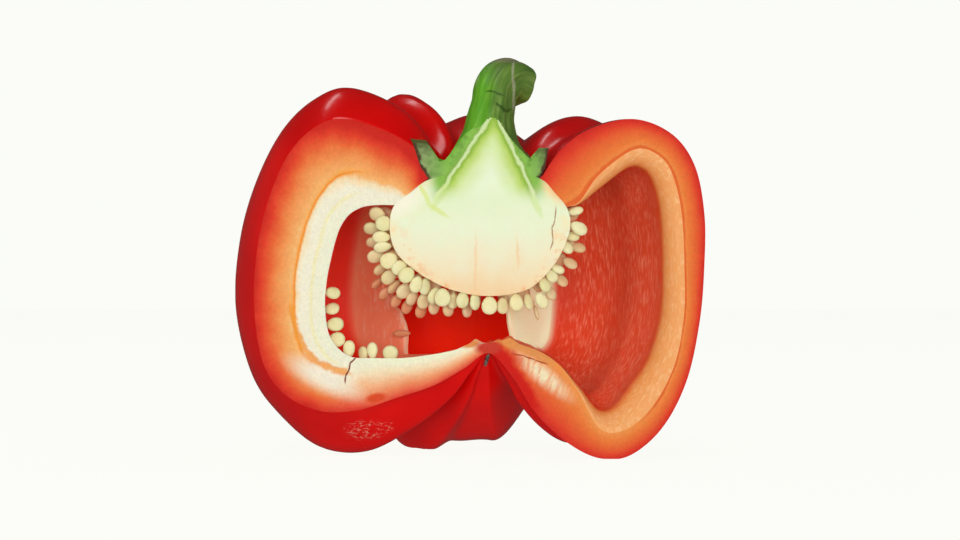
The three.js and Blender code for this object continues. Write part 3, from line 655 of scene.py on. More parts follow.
shelf = add(tree, "Math", (low_floor, beside_cut), operation="MULTIPLY")
walls = painted(tree, walls, "#EBA874", shelf)
lined = painted(tree, walls, rib_colour, rib_strength)
free_edge = add(tree, "MapRange", (rib, 0.9, 1.0, 0, 0.75))
lined = painted(tree, lined, "#F0D2B0", free_edge)
torn_map = add(tree, "Mapping", {"Vector": coords, "Scale": (1, 1, 0.3)})
torn = add(tree, "TexNoise", {"Vector": torn_map, "Scale": 1 / (1.0 * MM), "Detail": 4, "Distortion": 0.8})
torn = add(tree, "MapRange", (torn, 0.56, 0.7, 0, 0.7))
on_rib = add(tree, "MapRange", (rib, 0.03, 0.2))
torn = add(tree, "Math", (torn, on_rib), operation="MULTIPLY")
on_left = add(tree, "Math", (across, 55.0), operation="GREATER_THAN")
torn = add(tree, "Math", (torn, on_left), operation="MULTIPLY")
lined = painted(tree, lined, "#F2C8AC", torn)
# Painted glow: emission stands in for light from behind coming through the flesh, deep red through the wall
# and cream through the pale septum.
behind = add(tree, "MapRange", (turn, 0.36, 0.42))
painted_glow = painted(tree, "#000000", "#3C0602", behind)
painted_glow = painted(tree, painted_glow, painted_rib_glow, rib_strength)
bump = add(tree, "Bump", {"Height": streaks, "Strength": 0.35, "Distance": 0.3 * MM})
surface = {
    "Base Color": lined,
    "Emission Color": painted_glow,
    "Emission Strength": 1.0,
    "Normal": bump,
    "Roughness": 0.38,
    "IOR": 1.4,
    "Subsurface Weight": 0.12,
    "Subsurface Radius": (1.0, 0.3, 0.12),
    "Subsurface Scale": 1.5 * MM,
}
wire(tree, shader, surface)


def wall_points():
    """The skin grid and the cavity grid, rows from the stem cavity to the blossom end, columns from the right
    cut round to the left, with each point's landmark, azimuth and share of a rib."""
    azimuths = wall_columns()
    u = np.linspace(0, len(RIGHT_SKIN) - 1, WALL_ROWS + 1)
    outside = np.swapaxes(half_section(skin_landmarks(azimuths), u), 0, 1)
    inside = np.swapaxes(half_section(cavity_landmarks(azimuths), u), 0, 1)
    for section in (outside, inside):
        section[0, :, 0] -= JOIN_OVERLAP
        section[..., 0] = np.maximum(section[..., 0], 0)
    outside[..., 1] = np.maximum(outside[..., 1], 0)
    skin_grid = place(outside, azimuths)
    cavity_grid = place(inside, azimuths)
    shares = np.zeros(cavity_grid.shape[:2])
    for each in RIBS:
        off = np.abs(np.radians(azimuths - each["azimuth"])) * RIB_WALL_RADIUS
        reach = np.interp(off, RIB_OFFSETS, RIB_REACH)
        push = rib_push(each, u)
        a = math.radians(each["azimuth"])
        step = np.stack([push[:, 0] * math.cos(a), push[:, 0] * math.sin(a), push[:, 1]], axis=-1)
        cavity_grid += reach[None, :, None] * step[:, None, :]
        shares += reach[None, :] * rib_window(each, u)[:, None]
    for x, back, height, spread in END_KNOBS:
        away = (cavity_grid[..., 0] - AXIS_X - x) ** 2 + (cavity_grid[..., 1] - CUT_Y - back) ** 2
        near = smooth(u, *KNOBS_RISE)[:, None]
        cavity_grid[..., 2] += near * height * np.exp(-away / spread**2)
    return skin_grid, cavity_grid, azimuths, u, shares


def run_vectors(across, along, depth):
    """The wall's own coordinates at its points: per cent of the way round from the right cut to the left, mm
    along it from the stem cavity, and depth from 0 at the skin to 1 at the cavity."""
    return np.stack(np.broadcast_arrays(across, along, depth), axis=-1).reshape(-1, 3)


def wall_piece():
    """One closed mesh: the skin, the cavity, the two cut faces in layers between them, and the rim that the
    core and the calyx cover."""
    skin_grid, cavity_grid, azimuths, u, shares = wall_points()
    rows, columns = skin_grid.shape[:2]
    count = rows * columns
    skin_ids = np.arange(count).reshape(rows, columns)
    cavity_ids = skin_ids + count
    layers = np.linspace(0, 1, CUT_LAYERS + 1)[1:-1]
    points = [skin_grid.reshape(-1, 3), cavity_grid.reshape(-1, 3)]
    along = u[:, None] * LANDMARK_PITCH
    run = [run_vectors(azimuths / 180 * 100, along, side) for side in (0.0, 1.0)]
    cuts = []
    for end, across in ((0, 0.0), (-1, 100.0)):
        start = 2 * count + len(cuts) * rows * len(layers)
        inner = start + np.arange(rows * len(layers)).reshape(rows, len(layers))
        ids = np.concatenate([skin_ids[:, [end]], inner, cavity_ids[:, [end]]], axis=1)
        cuts.append(ids)
        outer = skin_grid[:, end, None, :]
        inmost = cavity_grid[:, end, None, :]
        points.append((outer + (inmost - outer) * layers[None, :, None]).reshape(-1, 3))
        run.append(run_vectors(across, along, layers))
    for ids in (skin_ids, cavity_ids):
        ids[-1] = ids[-1, 0]
    for ids in cuts:
        ids[-1] = cuts[0][-1]
    rim = np.stack([skin_ids[0], cavity_ids[0]])
    cut_quads = [quads_between(ids) for ids in (cuts[0][:, ::-1], cuts[1], rim[:, ::-1])]
    groups = (
        (quads_between(skin_ids), skin),
        (np.concatenate(cut_quads), flesh),
        (quads_between(cavity_ids[:, ::-1]), lining),
    )
    points = np.concatenate(points)
    points[:, 1] = np.maximum(points[:, 1], CUT_Y + WALL_BEHIND)
    low, high = (np.array(corner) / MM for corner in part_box("wall"))
    points = np.clip(points, low, high)
    share = np.zeros(len(points))
    share[count : 2 * count] = shares.ravel()
    return made_piece("wall", points, groups, run=np.concatenate(run), rib=share)


wall = wall_piece()
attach(wall, "root")
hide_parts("wall")

# The core is the pale spongy placenta that hangs under the stem. The seeds grow out of it. It is half a dome
# with the flat cut in front, greenish near the stem and peach at its rim.
CORE_RIGHT = np.array([
    [0, 57.4], [7, 57], [10.9, 55.8], [13.4, 53.2], [15.8, 50.2], [16.5, 47], [15.6, 43.4], [13.2, 38.8],
    [8.8, 34.4], [4.2, 32.9], [0, 32.6],
])  # fmt: skip
CORE_LEFT = np.array([
    [0, 57.4], [7, 57], [12, 55.8], [15.5, 53.3], [18.9, 50.4], [19.6, 45.8], [18.2, 41.2], [14.2, 37.5],
    [9.4, 34.7], [4.4, 33.1], [0, 32.6],
])  # fmt: skip
CORE_BACK_SHARE = 0.92
CORE_BULGE = {"azimuth": 160, "spread": 15, "share": 0.12}
CORE_ROWS = 90
CORE_COLUMNS = 72
CORE_FACE_STEPS = 40
PIT_DEPTH = 0.12  # mm
PIT_WAVES = ((2.3, 11), (5.1, 17))  # how fast the pits' waves go down the core and round it


def core_landmarks(azimuth):
    """The core's landmarks at azimuths: the blend of its two half sections, a little shallower behind and
    with a swelling just behind the cut on the left."""
    share = left_share(azimuth)
    behind = np.abs(np.sin(np.radians(azimuth)))
    bulge = CORE_BULGE["share"] * np.exp(-(((azimuth - CORE_BULGE["azimuth"]) / CORE_BULGE["spread"]) ** 2))
    back = 1 + (CORE_BACK_SHARE - 1) * behind + bulge * behind**0.3
    blend = CORE_RIGHT * (1 - share[:, None, None]) + CORE_LEFT * share[:, None, None]
    return blend * np.stack([back, np.ones_like(back)], axis=-1)[:, None, :]


# The green of the stem runs down over the core as an arch: its two sides as [x, height] from top to foot.
ARCH_LEFT = ((-0.2, 66.5), (-9.6, 52.5))
ARCH_RIGHT = ((2.2, 67), (9.2, 51.6))
ARCH_STOPS = (
    (0.0, "#5C9A26"), (0.15, "#6CA834"), (0.34, "#86B84C"), (0.41, "#7EAA42"), (0.44, "#CADCA2"),
    (0.475, "#C4D898"), (0.505, "#86AE34"), (0.58, "#B4CE62"), (0.74, "#D2E2A4"), (1.0, "#E2ECCC"),
)  # fmt: skip
ARCH_REACH = 5.5  # mm from the arch's line to either end of its colours


def arch_colour(tree, coords):
    """The colour of the cut tissue, and its place on the colours' scale, by its distance inside the arch: the
    lesser of its distances from the arch's two sides, unsettled by noise."""
    x, _, z = add(tree, "SeparateXYZ", (coords,)).outputs
    sides = []
    for ((x0, z0), (x1, z1)), facing in ((ARCH_LEFT, 1), (ARCH_RIGHT, -1)):
        length = math.hypot(x1 - x0, z1 - z0)
        across = facing * (z0 - z1) / length
        up = facing * (x1 - x0) / length
        shift = -across * (AXIS_X + x0) * MM - up * z0 * MM
        sideways = add(tree, "Math", (x, across, shift), operation="MULTIPLY_ADD")
        sides.append(add(tree, "Math", (z, up, sideways), operation="MULTIPLY_ADD"))
    inside = add(tree, "Math", (sides[0], sides[1], 1.5 * MM), operation="SMOOTH_MIN")
    bend = add(tree, "TexNoise", {"Vector": coords, "Scale": 1 / (2.5 * MM), "Detail": 3})
    unsettled = add(tree, "Math", (bend, 1.6 * MM, -0.8 * MM), operation="MULTIPLY_ADD")
    inside = add(tree, "Math", (inside, unsettled), operation="ADD")
    reach = ARCH_REACH * MM
    share = add(tree, "MapRange", (inside, -reach, reach))
    return add(tree, "ValToRGB", (share,), stops=ARCH_STOPS), share


# Placenta tissue: wet and spongy, slightly see-through, with veins and a brown crack in its cut face.
core_cut, tree, shader = new_material("cut placenta")
coords = add(tree, "TexCoord", ()).outputs["Object"]
edge_near = add(tree, "Attribute", (), attribute_name="edge").outputs["Fac"]
x, _, height = add(tree, "SeparateXYZ", (coords,)).outputs
cloud = add(tree, "TexNoise", {"Vector": coords, "Scale": 1 / (4 * MM), "Detail": 3})
waver = add(tree, "Math", (cloud, 8 * MM, -4 * MM), operation="MULTIPLY_ADD")
level = add(tree, "Math", (height, waver), operation="ADD")
level = add(tree, "MapRange", (level, 32 * MM, 58 * MM))
core_stops = (
    (0.0, "#ECC898"), (0.15, "#EBD4AC"), (0.35, "#E8E2C2"), (0.55, "#E3E9C9"), (0.8, "#DCE8C2"),
    (1.0, "#D0E2A2"),
)  # fmt: skip
tissue = add(tree, "ValToRGB", (level,), stops=core_stops)
rim_near = add(tree, "Math", (edge_near, cloud), operation="MULTIPLY")
rim_near = add(tree, "MapRange", (rim_near, 0.36, 0.62, 0, 0.6))
tissue = painted(tree, tissue, "#F3D9A6", rim_near)
blotches = add(tree, "TexNoise", {"Vector": coords, "Scale": 1 / (1.8 * MM), "Detail": 4, "Roughness": 0.6})
blotches = add(tree, "MapRange", (blotches, 0.5, 0.66, 0, 0.75))
at_rim = add(tree, "MapRange", (edge_near, 0.74, 0.94))
low_rim = add(tree, "MapRange", (height, 48 * MM, 42 * MM))
blotched = add(tree, "Math", (blotches, at_rim), operation="MULTIPLY")
blotched = add(tree, "Math", (blotched, low_rim), operation="MULTIPLY")
tissue = painted(tree, tissue, "#EDA468", blotched)
green_down = add(tree, "MapRange", (height, 50.5 * MM, 55.5 * MM), **EASED)
off_axis = add(tree, "Math", (x, AXIS_X * MM), operation="SUBTRACT")
off_axis = add(tree, "Math", (off_axis,), operation="ABSOLUTE")
near_axis = add(tree, "MapRange", (off_axis, 12.5 * MM, 9.5 * MM), **EASED)
green_share = add(tree, "Math", (green_down, near_axis), operation="MULTIPLY")
tissue = painted(tree, tissue, arch_colour(tree, coords)[0], green_share)
# Where it joins the wall on the left and on the right.
JOINTS = (((-17.6, 51.6), (5, 2.6), 30, 0.7, "#EFEBD3"), ((13.6, 54), (2.4, 1.5), -45, 0.8, "#F2C488"))
tissue = with_spots(tree, coords, tissue, JOINTS)
CORE_VEINS = (
    # path, width, how far and how often it bends, colour and its share; the last is the crack
    (((-10.4, 51.4), (-8.4, 54.4)), 1.5, 1.0, 2, "#C6DC80", 0.5),
    (((9.0, 52.2), (10.2, 49.6)), 1.2, 1.0, 2, "#C6DC80", 0.5),
    (((-13.6, 54.8), (-11.6, 50.8), (-8.6, 48.8)), 0.9, 0.8, 2, "#D2DE6E", 0.6),
    (((-2.4, 43.8), (-2.6, 33.8)), 0.5, 0.9, 2, "#EBC08A", 0.5),
    (((5.8, 43.8), (6, 38.8)), 0.5, 0.9, 2, "#EBC08A", 0.5),
    (((13.6, 50.2), (13.4, 47.8), (12.8, 46.2), (13, 43.8), (12.6, 42.2)), 0.3, 0.5, 2, "#A0683A", 0.8),
)
tissue = with_lines(tree, coords, tissue, CORE_VEINS)
pores = add(tree, "TexNoise", {"Vector": coords, "Scale": 1 / (0.6 * MM), "Detail": 3})
bump = add(tree, "Bump", {"Height": pores, "Strength": 0.3, "Distance": 0.15 * MM})
surface = {
    "Base Color": tissue,
    "Normal": bump,
    "Roughness": 0.5,
    "IOR": 1.4,
    "Subsurface Weight": 0.2,
    "Subsurface Radius": (1.0, 0.7, 0.4),
    "Subsurface Scale": 2 * MM,
}
wire(tree, shader, surface)

# The placenta's own surface, behind the cut: the same tissue, moist and cream, seen between the seeds.
core_outside, tree, shader = new_material("placenta surface")
coords = add(tree, "TexCoord", ()).outputs["Object"]
cloud = add(tree, "TexNoise", {"Vector": coords, "Scale": 1 / (3 * MM), "Detail": 3})
creams = add(tree, "ValToRGB", (cloud,), stops=((0.35, "#EBCF9C"), (0.65, "#F0E2BA")))
surface = {
    "Base Color": creams,
    "Roughness": 0.45,
    "Subsurface Weight": 0.3,
    "Subsurface Radius": (1.0, 0.6, 0.3),
    "Subsurface Scale": 2 * MM,
}
wire(tree, shader, surface)


def core_piece():
    """Half a dome over azimuths from the right cut round to the left, pitted by products of sine waves, and
    its cut face as rows across from the left outline to the right."""
    azimuths = np.linspace(0, 180, CORE_COLUMNS + 1)
    u = np.linspace(0, len(CORE_RIGHT) - 1, CORE_ROWS + 1)
    section = np.swapaxes(half_section(core_landmarks(azimuths), u), 0, 1)
    a = np.radians(azimuths)
    pits = sum(np.sin(down * u)[:, None] * np.sin(around * a) for down, around in PIT_WAVES)
    section[..., 0] = np.maximum(section[..., 0] + PIT_DEPTH * pits * np.sin(a), 0)
    dome = place(section, azimuths)
    rows, columns = dome.shape[:2]
    ids = np.arange(rows * columns).reshape(rows, columns)
    steps = np.linspace(0, 1, CORE_FACE_STEPS + 1)[1:-1]
    left = dome[:, -1, None, :]
    right = dome[:, 0, None, :]
    face = left + (right - left) * steps[None, :, None]
    face_ids = ids.size + np.arange(rows * len(steps)).reshape(rows, len(steps))
    cut_ids = np.concatenate([ids[:, -1:], face_ids, ids[:, :1]], axis=1)
    off_centre = np.abs(2 * steps - 1)[None, :] * np.ones((rows, 1))
    up_down = np.abs(2 * np.linspace(0, 1, rows) - 1)[:, None]
    edge_share = np.maximum(off_centre, up_down)
    for row in (0, -1):
        ids[row] = ids[row, 0]
        cut_ids[row] = ids[row, 0]
    groups = ((quads_between(cut_ids), core_cut), (quads_between(ids), core_outside))
    points = np.concatenate([dome.reshape(-1, 3), face.reshape(-1, 3)])
    edge_values = np.concatenate([np.ones(rows * columns), edge_share.ravel()])
    return made_piece("core", points, groups, edge=edge_values)


core = core_piece()
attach(core, "root")
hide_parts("core")

# The seeds are flat ripe discs, cream and slightly shiny, crowded on the core in rows and along the cut rib
# and the torn one. Each is held by a short stalk, so its narrow end is sunk in the flesh.
SEED_HALF = np.array([1.95, 1.75, 0.72])  # out, across and thick, in mm
SEED_RINGS = 8
SEED_SIDES = 14
# The front row: x from the axis, height, half length and half width in mm, the direction that it points and
# how far it is turned edge-on in degrees, and mm behind the cut.
FRONT_SEEDS = (
    (-20.8, 47.1, 1.85, 1.8, 170, 10, 1.2),
    (-22.3, 49.0, 1.8, 1.7, 150, 20, 3.4),
    (-23.4, 46.2, 1.8, 1.6, 180, 35, 3.8),
    (-21.4, 44.4, 1.85, 1.4, 180, 20, 1.6),
    (-21.2, 42.4, 1.85, 1.3, 190, 25, 1.9),
    (-19.9, 39.7, 1.85, 1.8, 210, 5, 1.1),
    (-17.8, 38.3, 1.7, 1.7, 220, 15, 1.5),
    (-16.3, 36.8, 1.8, 1.7, 225, 5, 1.1),
    (-14.4, 34.9, 1.8, 1.45, 250, 20, 1.4),
    (-12.7, 34.5, 1.8, 1.5, 265, 35, 2.6),
    (-10.8, 32.6, 1.8, 1.5, 250, 30, 2.4),
    (-9.1, 32.3, 1.9, 1.85, 270, 5, 1.1),
    (-7.0, 31.6, 1.7, 1.4, 262, 30, 3.2),
    (-5.1, 31.8, 1.75, 1.5, 265, 20, 1.4),
    (-2.6, 31.5, 1.85, 1.3, 270, 35, 1.8),
    (0.3, 30.7, 1.9, 1.8, 270, 5, 1.1),
    (3.0, 30.6, 1.7, 1.6, 270, 30, 2.8),
    (5.7, 31.3, 1.8, 1.6, 280, 10, 1.3),
    (8.2, 31.4, 1.7, 1.3, 285, 40, 2.6),
    (10.8, 31.7, 1.8, 1.4, 300, 20, 1.6),
    (11.4, 34.8, 1.6, 1.3, 300, 25, 1.4),
    (12.8, 36.6, 1.5, 1.3, 310, 20, 1.5),
    (14.0, 38.0, 1.5, 1.0, 335, 30, 1.4),
    (15.7, 42.4, 1.7, 1.3, 320, 30, 1.6),
    (16.9, 44.6, 1.6, 1.2, 350, 35, 2.2),
    (18.2, 46.2, 1.9, 1.5, 330, 15, 1.3),
    (17.6, 49.6, 1.6, 1.0, 15, 20, 1.3),
)
# Seeds that show behind the front row, given in the same way.
BEHIND_SEEDS = (
    (-22.9, 43.4, 1.8, 1.5, 185, 40, 4.6),
    (-22.7, 40.6, 1.8, 1.6, 200, 25, 4.2),
    (-21.6, 38.0, 1.8, 1.4, 215, 45, 5.0),
    (-20.0, 36.4, 1.8, 1.6, 225, 20, 4.0),
    (-19.0, 34.4, 1.8, 1.3, 230, 50, 5.6),
    (-17.0, 33.6, 1.8, 1.6, 235, 25, 4.2),
    (-15.3, 32.2, 1.8, 1.4, 245, 40, 5.0),
    (-13.0, 31.6, 1.8, 1.5, 255, 25, 4.4),
    (-22.4, 35.2, 1.7, 1.2, 220, 60, 7.6),
    (-20.9, 33.1, 1.7, 1.3, 225, 40, 7.2),
    (-18.6, 31.6, 1.7, 1.3, 238, 40, 7.0),
    (-16.4, 30.4, 1.7, 1.3, 245, 30, 7.4),
    (-13.6, 29.6, 1.7, 1.4, 255, 35, 7.0),
    (-10.9, 30.4, 1.7, 1.4, 262, 35, 5.0),
    (-8.0, 30.0, 1.7, 1.4, 268, 30, 5.0),
    (-4.2, 29.8, 1.7, 1.3, 268, 40, 5.2),
    (12.6, 33.2, 1.7, 1.3, 300, 30, 4.4),
    (14.8, 35.8, 1.7, 1.3, 315, 35, 4.8),
    (16.6, 39.2, 1.7, 1.3, 330, 35, 4.8),
    (18.2, 42.4, 1.7, 1.3, 345, 35, 5.0),
    (9.8, 29.2, 1.6, 0.5, 285, 10, 4.6),
)
# Seeds on the ribs, given in the same way.
RIB_SEEDS = (
    (-31.2, 33.2, 1.6, 1.4, 350, 20, 1.6),
    (-31.4, 30.0, 1.6, 1.5, 10, 35, 2.2),
    (-30.7, 26.9, 1.8, 1.6, 5, 15, 1.5),
    (-30.4, 23.8, 1.8, 1.7, 15, 10, 1.4),
    (-27.9, 21.9, 1.85, 1.4, 85, 15, 1.3),
    (-25.1, 20.9, 1.6, 1.3, 95, 40, 2.6),
    (-23.2, 21.6, 1.75, 1.25, 92, 20, 1.4),
    (-19.6, 21.0, 1.7, 1.8, 88, 10, 1.5),
)
TORN_RIB_SEED = (-17.9, 24.6, 1.9, 0.8, 180, 20, 16.4)
# The rows behind those: mm behind the cut, mm between seeds, the core's landmark where they start, how far
# they keep off a rib, how far their middles stand off the core, and the point that they all turn away from.
BEHIND_DEPTHS = (4.6, 7.6, 10.6, 13.6, 16.4)
SEED_PITCH = 2.9
SEED_FROM_LEVEL = 4.0
SEED_FREE_OF_RIB = 3
SEED_STAND = 1.3
CORE_MIDDLE = (AXIS_X, CUT_Y, 46)


def draw(number):
    """A repeatable draw from 0 to 1: the fraction of a large multiple of a sine."""
    value = np.sin(np.asarray(number, float) * 12.9898 + 4.1414) * 43758.5453
    return value - np.floor(value)


def seed_grid():
    """One seed of unit half sizes, [out, across, thick]: a flattened ball whose rim is fuller than its middle
    and that narrows towards its stalk."""
    lap = np.linspace(0, 2 * np.pi, SEED_SIDES, endpoint=False)
    tilt = np.linspace(-np.pi / 2, np.pi / 2, SEED_RINGS + 1)
    ring = np.cos(tilt)[:, None] ** 0.75
    out = ring * np.cos(lap)
    across = ring * np.sin(lap) * (0.9 + 0.12 * np.cos(lap))
    thick = np.sin(tilt)[:, None] * (0.84 + 0.16 * ring**2) * np.ones_like(lap)
    return np.stack([out, across, thick], axis=-1)


def round_ids(rows, columns):
    """Vertex numbers of a grid of rings: the last column meets the first, and a pole closes either end."""
    ids = np.arange(rows * columns).reshape(rows, columns)
    ids = np.concatenate([ids, ids[:, :1]], axis=1)
    ids[[0, -1]] = ids[[0, -1], :1]
    return ids


def seeds_mesh(centres, outs, thins, halves):
    """Seeds as whole arrays: each point is the centre plus the unit seed's point measured along the seed's
    own out, across and thin directions."""
    outs = to_unit(outs)
    thins = to_unit(thins - (thins * outs).sum(axis=1, keepdims=True) * outs)
    sides = np.cross(thins, outs)
    axes = np.stack([outs, sides, thins], axis=1) * halves[:, :, None]
    unit = seed_grid()
    points = centres[:, None, None, :] + np.einsum("rsk,nkc->nrsc", unit, axes)
    rows, columns = unit.shape[:2]
    number = np.arange(len(centres))
    quads = quads_between(round_ids(rows, columns)[:, ::-1]) + (number * rows * columns)[:, None, None]
    return points.reshape(-1, 3), quads.reshape(-1, 4), np.repeat(draw(number), rows * columns)


def hand_placed(table):
    """Centres, directions and half sizes of seeds from rows of the tables above."""
    x, z, length, width, points_to, turned, back = np.array(table).T
    a = np.radians(points_to)
    t = np.radians(turned)
    outs = np.stack([np.cos(a), np.zeros_like(a), np.sin(a)], axis=1)
    thins = np.stack([-np.sin(a) * np.sin(t), -np.cos(t), np.cos(a) * np.sin(t)], axis=1)
    centres = np.stack([AXIS_X + x, CUT_Y + back, z], axis=1)
    halves = np.stack([length, width, np.full_like(length, SEED_HALF[2])], axis=1)
    return centres, outs, thins, halves


def rows_behind():
    """Seeds in rows parallel to the cut, evenly spaced down either side of the core and standing out from its
    middle. They leave the ribs free."""
    centres = []
    outs = []
    thins = []
    for row, depth in enumerate(BEHIND_DEPTHS):
        for side in (0, 180):
            levels = np.linspace(SEED_FROM_LEVEL, len(CORE_RIGHT) - 1, 200)
            half = half_section(core_landmarks(np.array([float(side)])), levels)[0]
            walked = np.concatenate([[0], np.cumsum(np.hypot(*np.diff(half, axis=0).T))])
            stops = np.arange(SEED_PITCH * (1 + row % 2) / 2, walked[-1], SEED_PITCH)
            at = np.interp(stops, walked, levels)
            radius = np.interp(stops, walked, half[:, 0])
            kept = radius * CORE_BACK_SHARE > depth
            at, radius = at[kept], radius[kept]
            number = row * 60 + side + np.arange(len(at))
            lean = np.degrees(np.arcsin(np.clip(depth / (radius * CORE_BACK_SHARE), 0, 1)))
            azimuth = np.abs(side - lean) + 3 * (draw(number) - 0.5)
            for each in RIBS:
                nearest = min(r for r, _ in each["edge"])
                clear = np.abs(np.radians(azimuth - each["azimuth"])) * radius > SEED_FREE_OF_RIB
                clear |= radius < nearest - SEED_FREE_OF_RIB
                at, radius, azimuth, number = at[clear], radius[clear], azimuth[clear], number[clear]
            each_own = np.arange(len(at))
            here = place(half_section(core_landmarks(azimuth), at)[each_own, each_own], azimuth)
            out = to_unit(here - CORE_MIDDLE)
            roll = np.pi * 0.8 * (draw(number + 900) - 0.5)
            thin = np.stack([np.sin(roll), -np.cos(roll), 0.3 * np.sin(3 * roll)], axis=1)
            centres.append(here + SEED_STAND * out)
            outs.append(out)
            thins.append(thin)
    centres = np.concatenate(centres)
    return centres, np.concatenate(outs), np.concatenate(thins), np.tile(SEED_HALF, (len(centres), 1))


# Seed coat: dry, waxy and cream, with each seed a little lighter or yellower than the next, and painted
# orange shade on the seeds that lie deeper behind the cut.
seed_coat, tree, shader = new_material("seed coat")
coords = add(tree, "TexCoord", ()).outputs["Object"]
tint = add(tree, "Attribute", (), attribute_name="tint").outputs["Fac"]
creams = add(tree, "ValToRGB", (tint,), stops=((0.0, "#E2DCA6"), (0.5, "#E8E4B6"), (1.0, "#EADFAA")))
cloud = add(tree, "TexNoise", {"Vector": coords, "Scale": 1 / (1.6 * MM), "Detail": 2})
faint = add(tree, "MapRange", (cloud, 0.5, 0.75, 0, 0.35))
coat = painted(tree, creams, "#D2BC74", faint)
y = add(tree, "SeparateXYZ", (coords,)).outputs["Y"]
# Painted shade: seeds deeper behind the cut turn orange, as if the front row shaded them and red light came
# off the walls.
painted_shade_deeper = add(tree, "MapRange", (y, (CUT_Y + 2.5) * MM, (CUT_Y + 6.5) * MM, 0, 0.75))
coat = painted(tree, coat, "#DA7048", painted_shade_deeper)
surface = {
    "Base Color": coat,
    "Roughness": 0.4,
    "IOR": 1.45,
    "Subsurface Weight": 0.25,
    "Subsurface Radius": (1.0, 0.8, 0.4),
    "Subsurface Scale": 1 * MM,
}
wire(tree, shader, surface)


def seeds_piece(name, *lots):
    """A piece of seeds from lots of centres, directions and half sizes."""
    centres, outs, thins, halves = (np.concatenate(parts) for parts in zip(*lots))
    points, quads, tints = seeds_mesh(centres, outs, thins, halves)
    points[:, 1] = np.maximum(points[:, 1], CUT_Y)
    return made_piece(name, points, ((quads, seed_coat),), 180, tint=tints)


core_seeds = seeds_piece("core_seeds", hand_placed(FRONT_SEEDS), hand_placed(BEHIND_SEEDS), rows_behind())
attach(core_seeds, "root")
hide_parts("core")

rib_seeds = seeds_piece("rib_seeds", hand_placed(RIB_SEEDS), hand_placed((TORN_RIB_SEED,)))
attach(rib_seeds, "root")
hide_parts("wall")

# The stem with its calyx: a ridged green stalk that grows out of a toothed cap over the core. It bends over
# to the back and widens to its broken end. The knife went through the front of its foot.
# The foot of its middle line as x from the axis, mm behind the cut, height and radius.
STEM_PATH = [
    [0, 2.2, 59.8, 9], [0, 3.2, 61.6, 7.2], [0.1, 4.3, 64.4, 5.7], [0.3, 5, 68, 4.85], [0.9, 5.5, 71.2, 4.45],
]  # fmt: skip
STEM_BEND = {"turn": 122, "radius": 5.3, "azimuth": 50, "end_radius": 4.7, "steps": 4}
STEM_RIDGES = 5
STEM_RIDGE_HEIGHT = 0.05
STEM_ROWS = 90
STEM_COLUMNS = 120
STEM_END_RINGS = ((0.93, 0.05), (0.75, 0.0), (0.4, -0.25), (0.0, -0.3))  # share of the radius, mm further on
# The calyx's rings from below over its rim to the foot of the stalk: offset from the wall's rim, height, the
# height in front where the knife cut it flat, and how far the teeth draw it out and up.
CALYX_RINGS = (
    (-0.9, 55.2, 55.2, 0, 0),
    (0.2, 57.2, 57.2, 0.45, 0.3),
    (0.4, 59.2, 58.6, 1, 1),
    (-0.9, 59.6, 59.1, 0.35, 0.85),
    (-2.2, 60, 59.5, 0, 0.05),
)
# Its torn teeth: angle, reach out, reach up, and half width in degrees.
CALYX_TEETH = (
    (-6, 1.2, 3.0, 15), (24, 0.6, 1.2, 9), (58, 1.5, 2.6, 15), (88, 0.5, 1.0, 9), (116, 1.6, 3.0, 17),
    (150, 0.4, 0.8, 9), (184, 2.6, 4.3, 17),
)  # fmt: skip
CALYX_BELOW = 55.2  # mm, the height of the middle of its underside
BROWN_FROM = 2.5  # mm, the height from which a torn tooth is brown all over
CUT_EASE = 0.2  # the sine of the angle over which the calyx changes to its level front
STEM_BEHIND = 0.03  # mm that its cut face lies behind the core's

# Stem skin: tough green bark with fine lengthwise lines, drier and greyer at its broken end, and brown at the
# torn tips of the calyx.
stem_skin, tree, shader = new_material("green stem skin")
coords = add(tree, "TexCoord", ()).outputs["Object"]
growth = add(tree, "Attribute", (), attribute_name="growth").outputs["Vector"]
_, grown, tooth = add(tree, "SeparateXYZ", (growth,)).outputs
line_map = add(tree, "Mapping", {"Vector": growth, "Scale": (36, 5, 0)})
lines = add(tree, "TexNoise", {"Vector": line_map, "Scale": 1, "Detail": 3})
cloud = add(tree, "TexNoise", {"Vector": coords, "Scale": 1 / (3.5 * MM), "Detail": 3})
greens = add(tree, "ValToRGB", (lines,), stops=((0.3, "#4A8C14"), (0.55, "#5C9E1E"), (0.75, "#74AE34")))
olives = add(tree, "ValToRGB", (lines,), stops=((0.3, "#486A24"), (0.55, "#5F8030"), (0.75, "#7A9648")))
x, _, z = add(tree, "SeparateXYZ", (coords,)).outputs
sway = add(tree, "Math", (cloud, 3 * MM, -1.5 * MM), operation="MULTIPLY_ADD")
swayed = add(tree, "Math", (x, sway), operation="ADD")
right_side = add(tree, "MapRange", (swayed, (AXIS_X - 1.2) * MM, (AXIS_X + 2.2) * MM), **EASED)
bark = painted(tree, greens, olives, right_side)
BARK_MARKS = (
    # path, width, how far and how often it bends, colour and its share
    (((5.2, 80), (5.0, 77), (5.3, 73.6), (5.1, 70.6)), 0.55, 0.5, 2, "#9AA07C", 0.9),
    (((0.2, 73.6), (1.4, 73.4), (2.6, 72.8)), 0.5, 2.6, 2, "#2F4A12", 0.8),
    (((2.0, 71.0), (3.0, 70.2), (4.2, 70.0)), 0.6, 2.6, 2, "#2F4A12", 0.8),
    (((-1.6, 80), (-2.2, 76)), 0.8, 0.8, 2, "#93AE6E", 0.5),
)
bark = with_lines(tree, coords, bark, BARK_MARKS)
top_dry = add(tree, "MapRange", (z, 79.6 * MM, 80.6 * MM, 0, 0.8))
bark = painted(tree, bark, "#8A8468", top_dry)
dry = add(tree, "MapRange", (grown, 0.955, 0.975))
bark = painted(tree, bark, "#A8A288", dry)
torn = add(tree, "MapRange", (tooth, 0.55, 0.95, 0, 0.85))
bark = painted(tree, bark, "#4C3A22", torn)
bump = add(tree, "Bump", {"Height": lines, "Strength": 0.3, "Distance": 0.2 * MM})
